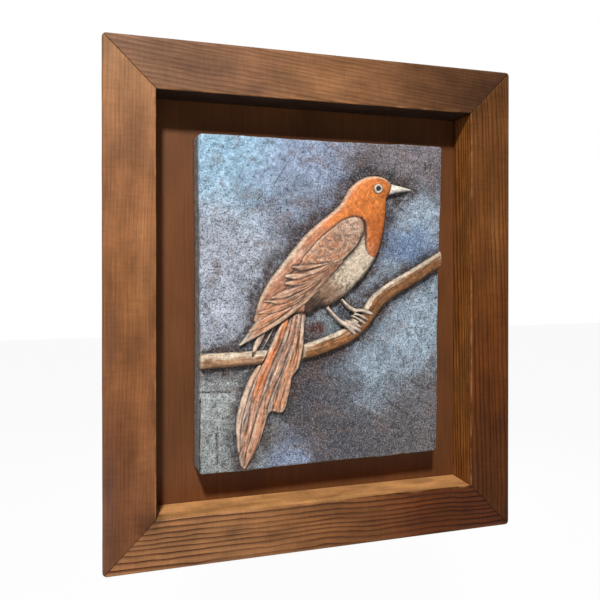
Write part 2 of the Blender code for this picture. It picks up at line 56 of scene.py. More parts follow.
TILE_THICKNESS = 0.0202
TILE_OFFSET_RIGHT = 0.0014
TILE_OFFSET_UP = 0.0002
TILE_CORNER_RADIUS = 0.0022
TILE_ARRIS = 0.0013
TILE_DRAFT = 0.0010
REBATE_WIDTH = 0.0080
OUTER_CORNER_RADIUS = 0.0028
OUTER_ARRIS = 0.0018
INNER_ARRIS = 0.0006
BACK_ARRIS = 0.0008
CLEARANCE = 0.0003
CARVING_DEPTH = 0.0080
SQUARE = 0.001
RAIL_LOW, RAIL_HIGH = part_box("frame_top_rail")
RAIL_WIDTH = RAIL_HIGH[2] - RAIL_LOW[2]
FRAME_DEPTH = -RAIL_LOW[1]
FRAME_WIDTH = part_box("frame_right_stile")[1][0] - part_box("frame_left_stile")[0][0]
FRAME_HEIGHT = RAIL_HIGH[2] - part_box("frame_bottom_rail")[0][2]
REBATE_DEPTH = -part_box("back_board")[0][1] + CLEARANCE
TILE_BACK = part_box("relief_tile")[1][1]
TILE_FACE = TILE_BACK - TILE_THICKNESS

# Fineness of the curves and of the dressed pieces.
CURVE_STEPS = 6
OUTLINE_STEPS = 96
CORNER_TURNS = (0.0, 0.3, 0.7, 1.0)
SPINE_STEPS = 16
GROOVE_STEPS = 30
TILE_COLUMNS = 194
TILE_ROWS = 246
RAIL_STEPS = 150
MITRE_CLOSENESS = 0.6
WELD = 1e-6
MM = 0.001

# How uneven the hand-made tile and the planed wood are.
OUTLINE_LEAN = 0.012
OUTLINE_SAG = 0.003
SIDE_WEAR = 0.16
CHIP_DEPTH = 0.5 * MM
RAIL_WAVE = 0.10 * MM


def paint(red, green, blue):
    """A colour given as a screen shows it, from 0 to 255, made linear for a shader."""
    shares = (red / 255, green / 255, blue / 255)
    return tuple(((c + 0.055) / 1.055) ** 2.4 if c > 10 / 255 else c / 12.92 for c in shares)


# Curves, distances and the carving's forms, as in the solid.

def smooth_closed(points):
    """A closed Catmull-Rom curve through the points. A point given twice makes a sharp corner."""
    p = np.array(points, float)
    before, after, beyond = np.roll(p, 1, 0), np.roll(p, -1, 0), np.roll(p, -2, 0)
    curve = []
    for step in range(CURVE_STEPS):
        t = step / CURVE_STEPS
        curve.append(
            0.5 * (2 * p + (after - before) * t + (2 * before - 5 * p + 4 * after - beyond) * t**2
                   + (3 * p - before - 3 * after + beyond) * t**3)
        )
    ring = np.stack(curve, axis=1).reshape(-1, 2)
    gap = np.linalg.norm(ring - np.roll(ring, 1, 0), axis=1)
    return ring[gap > WELD]


def smooth_open(points, count):
    """Evenly counted places along a smooth open curve through the points."""
    p = np.array(points, float)
    p = np.vstack([2 * p[0] - p[1], p, 2 * p[-1] - p[-2]])
    at = np.linspace(0, len(p) - 3, count)
    i = np.minimum(at.astype(int), len(p) - 4)
    t = (at - i)[:, None]
    a, b, c, d = p[i], p[i + 1], p[i + 2], p[i + 3]
    return 0.5 * (2 * b + (c - a) * t + (2 * a - 5 * b + 4 * c - d) * t**2 + (3 * b - a - 3 * c + d) * t**3)


def ribbon(spine, half_widths, count=18):
    """The outline of a band with the given half width at even places along its spine."""
    places = np.linspace(0, 1, len(half_widths))
    half = np.interp(np.linspace(0, 1, count), places, half_widths)[:, None]
    line = smooth_open(spine, count)
    ahead = np.gradient(line, axis=0)
    side = np.stack([ahead[:, 1], -ahead[:, 0]], axis=1) / np.linalg.norm(ahead, axis=1)[:, None]
    return np.vstack([line + side * half, (line - side * half)[::-1]])


def nearest_on(points, line, closed=False):
    """The nearest place to each point on a line of straight pieces, its distance and its length along."""
    start = line if closed else line[:-1]
    end = np.roll(line, -1, 0) if closed else line[1:]
    run = end - start
    length = np.sqrt((run**2).sum(1))
    t = np.clip(((points[:, None, :] - start[None]) * run).sum(2) / np.maximum(length**2, 1e-12), 0, 1)
    place = start[None] + t[..., None] * run
    away = np.sqrt(((points[:, None, :] - place) ** 2).sum(2))
    best = away.argmin(1)
    rows = np.arange(len(points))
    so_far = np.concatenate([[0], np.cumsum(length)])[best] + t[rows, best] * length[best]
    aside = points - place[rows, best]
    side = np.sign(run[best, 0] * aside[:, 1] - run[best, 1] * aside[:, 0])
    return place[rows, best], away[rows, best], so_far, side


def inside(points, ring):
    a, b = ring, np.roll(ring, -1, 0)
    px, pz = points[:, :1], points[:, 1:]
    crosses = (a[:, 1] > pz) != (b[:, 1] > pz)
    rise = np.where(b[:, 1] == a[:, 1], 1e-12, b[:, 1] - a[:, 1])
    hit = px < a[:, 0] + (pz - a[:, 1]) * (b[:, 0] - a[:, 0]) / rise
    return (crosses & hit).sum(1) % 2 == 1


def inside_distance(points, ring):
    """Distance in from a closed outline, below zero outside it."""
    return np.where(inside(points, ring), 1, -1) * nearest_on(points, ring, closed=True)[1]


def rounded(d, radius, power=2.4):
    """0 at an edge, rising steeply and levelling off to 1 at the radius."""
    t = np.clip(d / radius, 0, 1)
    return (1 - (1 - t) ** power) ** (1 / power)


def smooth_step(value, low, high):
    t = np.clip((value - low) / (high - low), 0, 1)
    return t * t * (3 - 2 * t)


def along(points, start, end):
    """0 at the start and 1 at the end of a straight line, beyond it too."""
    start, run = np.array(start, float), np.array(end, float) - np.array(start, float)
    return (points - start) @ run / (run @ run)


def chance(i, k, seed):
    """A value from -1 to 1 that looks random, for each pair of whole numbers."""
    n = (i * 374761393 + k * 668265263 + seed * 974634777) & 0xFFFFFFFF
    n = ((n ^ (n >> 13)) * 1274126177) & 0xFFFFFFFF
    return ((n ^ (n >> 16)) & 0xFFFF) / 32767.5 - 1


def mottle(points, size, seed):
    """Smooth noise from -1 to 1 with features of about the given size."""
    p = points / size
    i = np.floor(p).astype(np.int64)
    f = p - i
    f = f * f * (3 - 2 * f)
    corner = [chance(i[:, 0] + a, i[:, 1] + b, seed) for b in (0, 1) for a in (0, 1)]
    low = corner[0] + (corner[1] - corner[0]) * f[:, 0]
    high = corner[2] + (corner[3] - corner[2]) * f[:, 0]
    return low + (high - low) * f[:, 1]


def streaks(run, aside, seed, size=1):
    """Smooth noise from -1 to 1 in two directions that are already stretched."""
    return mottle(np.stack([run, aside], axis=1), size, seed)


def faded(away, reach):
    """1 on a line, fading out with the distance from it."""
    return np.exp(-((away / reach) ** 2))


def blob(points, middle, reach, power=1):
    """1 in the middle of an oval, fading out towards its reach, more abruptly with a higher power."""
    return np.exp(-(((points - middle) / reach) ** 2).sum(1) ** power)


def level(value):
    return lambda points: np.full(len(points), float(value))


def slope(start, end, heights):
    """A height that follows the given values along a straight line."""
    places = np.linspace(0, 1, len(heights))
    return lambda points: np.interp(along(points, start, end), places, heights)


LAYER_VALUES = "kind outline top dip radius edge spine grooves"


class Layer(namedtuple("Layer", LAYER_VALUES, defaults=(0.3, None, ()))):
    """One raised form: its outline, its height, how its edges fall away, its fibres' line and its paint."""

    def near(self, points, margin=0.0):
        low, high = self.outline.min(0), self.outline.max(0)
        return np.flatnonzero(((points > low - margin) & (points < high + margin)).all(1))


BRANCH_SPINE = [
    (-92, -36.0), (-50, -34.6), (-30, -33.8), (-12, -31.2), (2, -27.0), (15, -21.6),
    (24, -14.4), (29.5, -7.4), (36, 0.6), (48, 8.6), (64, 17.2), (94, 34.4),
]
BRANCH_HALF_WIDTHS = [5.0, 4.5, 4.5, 4.9, 5.1, 5.3, 5.4, 5.2, 5.2, 5.1, 5.0, 4.9]
HEAD_AND_BODY = smooth_closed([
    (44.6, 76.0), (42.6, 78.6), (39.4, 80.6), (34.4, 81.6), (29.2, 81.2), (24.6, 79.6), (20.4, 77.0),
    (16.6, 73.6), (12.8, 68.2), (8.2, 61.2), (0, 54.3), (-8.4, 47.6), (-16.6, 39.6), (-23.8, 31.0),
    (-30.8, 22.2), (-37.8, 13.2), (-43.6, 2.6), (-46.6, -7.0), (-47.0, -13.0), (-40, -14), (-26, -9.0),
    (-16, -7.6), (-11, -8.2), (-7.8, -5.0), (-4, -3.3), (0.4, -3.4), (4.2, -1.8), (8.6, 1.2), (12.8, 4.2),
    (19.2, 10.2), (24.0, 14.8), (28.0, 19.4), (31.2, 24.0), (34.0, 28.4), (36.2, 33.6), (38.0, 40.0),
    (39.6, 47.6), (40.6, 55.0), (41.2, 62.0), (41.2, 66.6), (43.0, 69.6),
])
WING = smooth_closed([
    (18.1, 54.4), (12.9, 53.5), (8.3, 51.7), (3.7, 48.3), (-4.3, 42.0), (-9.4, 37.2), (-13.4, 31.8),
    (-17.6, 26.2), (-24.0, 19.4), (-26.0, 12.6), (-32.4, 5.6), (-38.6, 0.2), (-42.4, -5.4), (-47.6, -13.8),
    (-52.4, -20.2), (-56.0, -26.0), (-56.0, -26.0), (-51.0, -23.8), (-43.0, -18.2), (-31.9, -9.8),
    (-20.5, -0.6), (-11.4, 7.0), (-2.3, 15.8), (7.9, 25.0), (13.8, 30.2), (19.4, 36.4), (23.0, 43.6),
    (24.0, 47.2), (23.4, 50.8), (21.2, 53.4),
])
COVERTS = smooth_closed([
    (18.1, 53.6), (12.9, 52.7), (8.3, 50.7), (3.7, 47.3), (-4.0, 41.0), (-9.6, 36.2), (-13.6, 31.8),
    (-17.2, 27.8), (-17.8, 25.2), (-14.4, 23.6), (-8.0, 23.4), (-2.0, 24.2), (3.4, 25.6), (8.6, 28.2),
    (13.6, 32.0), (18.8, 37.4), (22.2, 43.8), (23.1, 47.2), (22.6, 50.3), (20.8, 52.6),
])
BEAK = smooth_closed([
    (42.0, 77.4), (46.0, 76.5), (51.0, 75.6), (56.4, 74.6), (60.2, 73.6), (60.6, 73.0), (59.8, 72.7),
    (55.0, 71.9), (49.0, 70.9), (43.4, 69.4), (40.0, 69.6), (40.0, 76.0),
])
EYE = (33.8, 72.8)
EYE_RADIUS = 3.2
PUPIL_RADIUS = 1.9
BIB_EDGE = [(22.6, 53.4), (24.8, 50.4), (25.4, 45.4), (25.2, 39.4), (25.6, 34.0), (27.4, 29.8), (33.6, 27.8)]
TAIL = smooth_closed([
    (-13.8, -8.4), (-14.2, -16), (-15.0, -26), (-16.2, -36), (-18.8, -42.6), (-22.4, -48), (-24.4, -58),
    (-26.8, -66.6), (-28.8, -69.2), (-32.0, -69.8), (-35.6, -68.4), (-38.4, -71.4), (-41.2, -80),
    (-45.4, -88), (-50.6, -98.0), (-54.0, -102.4), (-56.4, -98.6), (-58.2, -86), (-58.2, -77), (-55.4, -64.6),
    (-50.6, -53.4), (-44.6, -41), (-38, -29), (-31.8, -18.4), (-26, -9.4), (-20, -5.0),
])

# Lines cut into the body: places along each line, depth in shares of the carving's, and half width.
BODY_GROOVES = [(BIB_EDGE, 0.13, 0.9)]

# Feathers of the tail, each with its spine, its half widths from root to tip, height, dip and paint.
TAIL_FEATHERS = [
    ([(-41, -18), (-44.6, -25), (-48.8, -33.6)], [1.6, 2.2, 2.0, 0.6], 0.26, 0.20, "far feather"),
    ([(-33, -12.6), (-37, -20.5), (-42, -30)], [0.8, 0.9, 0.3], 0.22, 0.16, "sliver"),
    ([(-43, -38), (-49.4, -50), (-54.2, -63), (-56.8, -76), (-56.6, -92)], [1.2, 2.0, 2.1, 1.9, 0.6],
     0.33, 0.18, "pink feather"),
    ([(-36.8, -50), (-40.6, -62), (-44.0, -76), (-47.6, -88), (-53.4, -103.0)],
     [0.8, 2.6, 3.6, 3.8, 3.4, 1.0], 0.42, 0.24, "brown feather"),
    ([(-26.4, -9), (-33.0, -26), (-41.0, -43), (-46.4, -60), (-50.2, -78), (-54.6, -98)],
     [1.8, 2.9, 3.3, 3.2, 2.7, 1.9, 0.6], 0.46, 0.26, "orange feather"),
    ([(-21.6, -8), (-24.4, -22), (-29.4, -36), (-34.4, -48), (-38.8, -60), (-41.2, -70)],
     [1.4, 2.2, 2.4, 2.4, 2.0, 0.6], 0.43, 0.24, "grey feather"),
    ([(-18.4, -24), (-20.6, -36), (-24.8, -46), (-27.8, -58), (-30.4, -69.4)], [1.2, 1.9, 2.1, 2.1, 2.3, 1.5],
     0.40, 0.22, "tan feather"),
    ([(-18.4, -8), (-20.6, -24), (-24.4, -38), (-29.0, -50), (-32.8, -61), (-34.6, -68.6)],
     [1.4, 2.0, 2.2, 2.5, 2.7, 1.8], 0.46, 0.24, "tan feather"),
    ([(-16.0, -8), (-16.8, -20), (-17.8, -31), (-20.0, -42.6)], [1.2, 1.5, 1.6, 1.5, 0.7],
     0.50, 0.20, "tan feather"),
]

# Feathers of the wing, lowest first: spine, half widths from root to tip, and height.
WING_FEATHERS = [
    ([(9, 26.6), (0, 17.4), (-12, 6.0), (-26, -5), (-40.4, -14.6), (-56.6, -26.6)],
     [1.2, 1.5, 2.2, 3.6, 4.4, 3.6, 0.7], 0.00),
    ([(-24, -3), (-34, -8.2), (-42, -12.4), (-50.6, -18)], [1.0, 2.6, 3.4, 2.8, 0.5], 0.03),
    ([(7, 25.4), (-3, 16.4), (-14, 6.6), (-25, -0.4), (-35, -4.2), (-45.4, -6.8)],
     [1.0, 1.4, 1.8, 2.3, 2.7, 2.4, 0.6], 0.03),
    ([(5, 25), (-5, 15.8), (-14, 8.6), (-24, 2.8), (-33, 0.5), (-41.6, 0.9)],
     [0.9, 1.2, 1.4, 1.6, 1.8, 0.6], 0.05),
    ([(3, 24.3), (-6, 16.4), (-16, 9.8), (-25, 6.4), (-31, 4.4), (-37.4, 2.6)],
     [1.0, 1.5, 1.9, 2.6, 2.6, 0.7], 0.07),
    ([(1, 23.8), (-6, 18.2), (-14, 14.2), (-22, 12.2), (-28.8, 11.6)], [0.9, 1.4, 1.7, 1.9, 1.8, 1.0], 0.08),
    ([(0, 24), (-7, 20.2), (-14, 17.6), (-21, 16.3), (-28.6, 16.2)], [0.8, 1.5, 1.9, 2.3, 2.2, 0.9], 0.09),
    ([(3, 26), (-5, 23.6), (-13, 22.0), (-19, 21.4), (-24.2, 22.0)], [0.8, 1.2, 1.6, 1.8, 0.8], 0.09),
]

# Legs and toes: spine, half widths and height at the body and at the claw.
LEGS = [
    ([(0.0, -3.4), (5.2, -9.6), (9.8, -13.6), (13.4, -15.0)], [1.2, 1.2, 1.6, 2.2], 0.42, 0.66),
    ([(12.4, -15.4), (15.8, -18.2), (18.8, -21.4)], [1.5, 1.5, 0.9], 0.68, 0.66),
    ([(12.6, -13.0), (17.4, -14.2), (22.8, -17.0)], [1.2, 1.2, 0.8], 0.69, 0.68),
    ([(12.8, -14.6), (17.6, -16.8), (22.4, -19.6)], [1.6, 1.6, 1.0], 0.71, 0.69),
    ([(9.8, 1.4), (14.6, -3.6), (19.6, -6.6)], [1.0, 1.3, 1.7], 0.40, 0.62),
    ([(16.6, -11.8), (18.6, -12.8), (20.6, -13.9)], [1.0, 1.3, 0.8], 0.69, 0.69),
    ([(16.8, -9.4), (21.0, -11.8), (25.8, -14.8)], [1.0, 1.0, 0.7], 0.67, 0.67),
    ([(18.0, -8.0), (22.4, -9.6), (27.2, -12.2)], [1.1, 1.1, 0.7], 0.69, 0.68),
    ([(18.0, -6.4), (23.0, -6.2), (27.0, -7.2), (30.8, -8.6)], [1.2, 1.3, 1.3, 0.9], 0.71, 0.69),
]

HEAD_MIDDLE = (33, 70)
WING_TIP = (-56.8, -26.8)
TAIL_ROOT = (-19, -8)
TAIL_TIP = (-53.8, -103.4)
BODY_LINE = [(34, 66), (24, 50), (4, 36), (-16, 18), (-34, 2), (-47, -14)]


def disc(middle, radius, count):
    turn = np.linspace(0, 2 * math.pi, count, endpoint=False)
    return np.array(middle) + radius * np.stack([np.cos(turn), np.sin(turn)], axis=1)


def carving_layers():
    """All raised forms, lowest first. Each hides what is under it."""
    branch = ribbon(BRANCH_SPINE, BRANCH_HALF_WIDTHS, count=60)
    layers = [Layer("branch", branch, level(0.56), 0.56, 4.2, 0.25, smooth_open(BRANCH_SPINE, 40))]
    tail_top = slope(TAIL_ROOT, TAIL_TIP, [0.38, 0.38, 0.34, 0.20])
    tail_line = np.array([TAIL_ROOT, TAIL_TIP], float)
    layers.append(Layer("tail", TAIL, tail_top, 0.38, 3.0, 0.3, tail_line))
    for spine, half_widths, rise, dip, kind in TAIL_FEATHERS:
        top = slope(TAIL_ROOT, TAIL_TIP, [rise, rise, rise * 0.82, rise * 0.6])
        outline, line = ribbon(spine, half_widths), smooth_open(spine, SPINE_STEPS)
        layers.append(Layer(kind, outline, top, dip, max(half_widths), 0.4, line))
    body_top = slope(HEAD_MIDDLE, WING_TIP, [0.74, 0.76, 0.80, 0.74, 0.62, 0.46])
    beak_line = np.array([(42, 73.4), (60, 73.2)], float)
    beak_top = slope((42, 73), (59, 73), [0.50, 0.42, 0.22])
    layers.append(Layer("beak", BEAK, beak_top, 0.26, 2.4, 0.4, beak_line))
    body_line = smooth_open(BODY_LINE, 30)
    layers.append(Layer("body", HEAD_AND_BODY, body_top, 0.72, 9.0, 0.3, body_line, BODY_GROOVES))
    wing_top = slope(HEAD_MIDDLE, WING_TIP, [0.98, 1.0, 0.98, 0.86, 0.66, 0.34])
    layers.append(Layer("wing", WING, lambda points: wing_top(points) - 0.06, 0.14, 3.4, 0.9, body_line))
    for spine, half_widths, lift in WING_FEATHERS:
        top = lambda points, lift=lift: wing_top(points) + lift - 0.04
        outline, radius = ribbon(spine, half_widths), max(half_widths) * 0.9
        layers.append(Layer("wing", outline, top, 0.18, radius, 0.4, smooth_open(spine, SPINE_STEPS)))
    top = lambda points: wing_top(points) + 0.02
    layers.append(Layer("coverts", COVERTS, top, 0.16, 6.0, 0.6, body_line))
    layers.append(Layer("eye ring", disc(EYE, EYE_RADIUS, 24), level(0.83), 0.10, 1.0, 0.3))
    layers.append(Layer("pupil", disc(EYE, PUPIL_RADIUS, 20), level(0.80), 0.10, 1.2, 0.3))
    for spine, half_widths, start, end in LEGS:
        top = slope(spine[0], spine[-1], [start, end])
        line = smooth_open(spine, 9)
        layers.append(Layer("leg", ribbon(spine, half_widths, count=9), top, 0.14, 1.4, 0.4, line))
    return layers


def tile_outline():
    """The slab's hand-made outline: nearly square, a little wider at its top, with soft corners."""
    half_w, half_h = TILE_WIDTH / 2, TILE_HEIGHT / 2
    lean, sag = OUTLINE_LEAN * TILE_WIDTH, OUTLINE_SAG * TILE_HEIGHT
    corners = [
        Vector((-half_w + 0.1 * sag, -half_h - 1.6 * sag)),
        Vector((half_w - lean, -half_h + 1.6 * sag)),
        Vector((half_w + lean, half_h + 0.6 * sag)),
        Vector((-half_w, half_h - 0.5 * sag)),
    ]
    bows = [0.4, -0.9, -0.6, -1.0]
    waves = [1.0, 0.5, 0.8, 0.3]
    ring = []
    for i, corner in enumerate(corners):
        after = corners[(i + 1) % 4]
        before = corners[i - 1]
        into = (corner - before).normalized()
        out = (after - corner).normalized()
        for turn in CORNER_TURNS:
            pull = TILE_CORNER_RADIUS * (1 - math.sin(turn * math.pi / 2))
            push = TILE_CORNER_RADIUS * (1 - math.cos(turn * math.pi / 2))
            ring.append(corner - into * pull + out * push)
        side = Vector((out.y, -out.x))
        run = (after - corner).length
        for step in range(1, OUTLINE_STEPS):
            t = step / OUTLINE_STEPS
            bulge = sag * (bows[i] * math.sin(math.pi * t) + waves[i] * math.sin(3 * math.pi * t) * 0.5)
            ring.append(corner + out * run * t + side * bulge)
    return np.array([tuple(p) for p in ring])


# The tile's fine relief and its paint.

SKY_BLUE = paint(147, 182, 204)
LAVENDER = paint(164, 170, 182)
PERIWINKLE = paint(140, 153, 178)
SLATE = paint(124, 134, 150)
DEEP_BLUE = paint(110, 134, 170)
PALE_BLUE = paint(148, 164, 178)
MAUVE = paint(116, 108, 112)
DUSK = paint(78, 75, 80)
UMBER = paint(98, 92, 92)
GREEN_GREY = paint(150, 154, 152)
GROUND_PATCHES = [
    # place, reach, colour
    ((-62, 88), 24, SKY_BLUE), ((-72, 38), 26, LAVENDER), ((-58, 2), 22, LAVENDER),
    ((-22, 86), 24, PERIWINKLE), ((-20, 60), 14, SLATE), ((34, 98), 16, MAUVE),
    ((70, 88), 20, MAUVE), ((66, 56), 14, PALE_BLUE),
    ((62, 36), 12, DEEP_BLUE), ((62, -8), 20, PALE_BLUE), ((40, -34), 23, PALE_BLUE), ((-4, -58), 20, DUSK),
    ((62, -80), 26, UMBER), ((10, -90), 20, DUSK), ((-26, -97), 8, PERIWINKLE), ((-72, -76), 22, GREEN_GREY),
]
WASH_AND_SHADE_PATCHES = [
    # place, reach, strength of the dark brown wash, partly painted shade below and to the right of the figure
    ((28, 87), 7, 0.9), ((46, 81), 6, 0.95), ((59, 77), 5, 0.8), ((49, 66), 6, 1.0), ((45, 56), 5, 0.8),
    ((11, 73), 6, 0.8), ((-6, 58), 7, 0.95), ((-21, 43), 7, 0.95), ((-36, 25), 7, 0.9), ((-45, 8), 6, 0.85),
    ((24, 4), 9, 0.75), ((34, 18), 8, 0.65), ((12, -2), 7, 0.65), ((44, 30), 7, 0.35), ((40, -10), 6, 0.6),
    ((30, -22), 7, 0.6), ((10, -36), 8, 0.55), ((-8, -42), 8, 0.6), ((-14, -56), 8, 0.6),
    ((-18, -70), 8, 0.45), ((-38, -86), 7, 0.45), ((-66, -42), 6, 0.45), ((-64, -26), 6, 0.35),
    ((78, 88), 6, 0.3), ((-74, -100), 6, 0.25),
]
SCRATCHES = [
    # ends, depth in millimetres and half width
    ((-80, -54.2), (-62, -54.9), 0.5, 0.5), ((-70.2, -80), (-69.8, -98), 0.4, 0.5),
    ((-80, -48.6), (-58, -50.2), -0.10, 0.7), ((-76, -58.0), (-60, -57.4), -0.08, 0.6),
    ((-34, 74), (-24, 90), 0.12, 0.24), ((56, -52), (70, -60), 0.3, 0.4),
    ((20, -66), (40, -76), -0.08, 0.5),
    ((46.0, -69.0), (58.0, -77.0), 0.35, 0.45), ((40.0, -62.0), (46.4, -69.4), 0.25, 0.4),
    ((63.4, 5), (56.4, -3), -0.12, 0.5), ((46.6, 58), (56.4, 68), -0.10, 0.7),
    ((54, -38), (54.6, -44), 0.25, 0.4), ((71, 88), (71, 91.5), 0.4, 0.5),
    ((74.4, 87.6), (74.4, 91.5), 0.4, 0.5),
]
DEEP_PITS = [((-21, -91.4), 1.0), ((78.6, 1.6), 1.2), ((12, -92), 0.8), ((66, -80), 0.6), ((-52, 62), 0.6)]

CREAM = paint(228, 210, 184)
BELLY_CREAM = paint(210, 191, 168)
BELLY_TURN = np.array([[0.78, 0.62], [-0.62, 0.78]])
VENT_TURN = np.array([[0.3, 0.9], [0.3, -0.9]])
SHOULDER_LINE = ((22, 54), (-12, 28))
# Pale cream grey, for pale rims on the forms and for painted highlights on slopes that face the lamp.
PALE_RIM_AND_HIGHLIGHT = paint(196, 184, 166)
DARK_GROOVE = paint(62, 40, 26)
# Dark wash, also used for painted shade on slopes that face away from the lamp and in hollows.
GROOVE_WASH_AND_SHADE = paint(54, 42, 34)
ORANGE = paint(209, 119, 50)
ORANGE_DEEP = paint(185, 98, 36)
ORANGE_PINK = paint(178, 122, 93)
WING_BROWN = paint(168, 120, 92)
OCHRE = paint(150, 98, 52)
KIND_COLOURS = {
    "branch": OCHRE,
    "tail": paint(150, 126, 116),
    "far feather": paint(190, 160, 142),
    "sliver": paint(112, 118, 118),
    "pink feather": paint(200, 164, 144),
    "brown feather": paint(192, 138, 108),
    "orange feather": paint(212, 126, 76),
    "grey feather": paint(184, 132, 106),
    "tan feather": paint(198, 140, 104),
    "beak": paint(222, 216, 204),
    "body": ORANGE,
    "wing": WING_BROWN,
    "coverts": WING_BROWN,
    "eye ring": paint(200, 190, 172),
    "pupil": paint(44, 36, 30),
    "leg": paint(190, 168, 154),
}

# How deep a form's fibres are cut, in millimetres, and how rough its surface is. The rest take the usual.
FIBRE_DEPTHS = {
    "branch": 0.16, "body": 0.07, "coverts": 0.12, "wing": 0.26, "leg": 0.06,
    "eye ring": 0, "pupil": 0, "beak": 0,
}
USUAL_FIBRE_DEPTH = 0.28
ROUGH_FORMS = {"body": 0.35, "branch": 0.32, "coverts": 0.42}
USUAL_ROUGH = 0.25
PIT_DEPTH = 0.22
DEEP_PIT_DEPTH = 0.6
CURL_DEPTH = 0.20
SPREAD = math.sqrt(2)


def plain(tint, points):
    return np.tile(tint, (len(points), 1))


def painted(colour, *coats):
    """A colour for each point under coats of paint, each given as its colour and its share of cover."""
    for tint, share in coats:
        colour = colour + (np.asarray(tint) - colour) * np.asarray(share)[:, None]
    return colour


def body_paint(points, run, aside):
    """Orange head, bib and back, cream belly with a painted shadow under the wing, and a dark brown vent."""
    x, z = points.T
    back = smooth_step(z + 0.45 * x, 60, 20)
    colour = painted(
        plain(ORANGE, points),
        (ORANGE_DEEP, 0.9 * smooth_step(z, 66, 48) * smooth_step(x, 20, 30)),
        (ORANGE_PINK, back),
    )
    away, side = nearest_on(points, smooth_open(BIB_EDGE, 40))[1::2]
    beside_bib = (side < 0) & (z < 52) & (x < 30)
    below_bib = z < 28.2
    belly = (z < 58) & (x > -16) & (z < 0.86 * x + 36) & (beside_bib | below_bib)
    colour[belly] = BELLY_CREAM
    middle = blob((points - (21, 26)) @ BELLY_TURN, (0, 0), (8.5, 17), 1.5)
    specks = smooth_step(mottle(points, 1.0, 9) + 0.5 * mottle(points, 2.4, 10) - 1.2 * middle, -0.5, 0.4)
    fall = z + 0.9 * x + 5 * mottle(points @ VENT_TURN, 1.0, 6)
    pale = smooth_step(streaks(run / 9, aside / 1.1, 5), -0.1, 0.8)
    brown = smooth_step(streaks(run / 7, aside / 1.3, 12), 0.0, 0.8)
    blotch = smooth_step(mottle(points, 2.6, 8), 0.1, 0.8)
    # A painted shadow on the belly along the wing's lower edge.
    painted_shadow_under_wing = faded(np.minimum(inside_distance(points, WING), 0), 2.2) * belly
    crease = faded(away, 0.4) * smooth_step(z, 32, 44) * (z < 53)
    return painted(
        colour,
        (paint(104, 76, 56), 0.66 * specks * belly),
        (paint(132, 96, 70), 0.8 * smooth_step(fall, 24, 8) * belly),
        (paint(62, 43, 31), 0.92 * smooth_step(fall, 5, -7) * belly),
        (CREAM, 0.30 * back * pale * ~belly),
        (paint(150, 96, 62), 0.6 * back * brown * ~belly),
        (paint(176, 84, 34), 0.4 * blotch * (1 - back) * ~belly),
        (paint(78, 52, 36), 0.75 * painted_shadow_under_wing),
        (DARK_GROOVE, 0.5 * crease),
    )


def branch_paint(points, run, aside):
    """Ochre bark, paler at the left, with a broken pale rim along its upper side that is a painted highlight,
    painted shade along its lower side, and dark lines along it.
    """
    x = points[:, 0]
    pale = smooth_step(x, -10, -50)
    broken_patches = smooth_step(streaks(run, aside * 2, 87, 4), -0.7, 0.3)
    ragged = 0.9 * streaks(run / 3.2, aside * 0.4, 86)
    rim = smooth_step(-aside + 2.2 * pale + ragged - 0.6 * (x > 30), 2.8, 3.8)
    lines = streaks(run / 10, aside / 0.8, 89)
    return painted(
        plain(OCHRE, points),
        (paint(182, 142, 108), 0.75 * pale),
        (paint(120, 76, 38), 0.65 * smooth_step(x, 20, 44)),
        # The broken pale rim on the upper side is a painted highlight; the darker lower side is painted
        # shade.
        (CREAM, (0.25 + 0.7 * broken_patches) * rim),
        (CREAM, 0.6 * blob(points, (44.5, 12.0), (2.4, 1.6))),
        (paint(96, 60, 30), 0.6 * smooth_step(aside, 1.4, 4.0)),
        (paint(90, 58, 32), 0.5 * smooth_step(mottle(points, 3.4, 88), 0.2, 0.8)),
        (paint(74, 46, 28), 0.6 * smooth_step(lines, 0.25, 0.7)),
        (CREAM, 0.25 * smooth_step(-lines, 0.30, 0.75) * smooth_step(-aside, -2.5, 1.5)),
    )


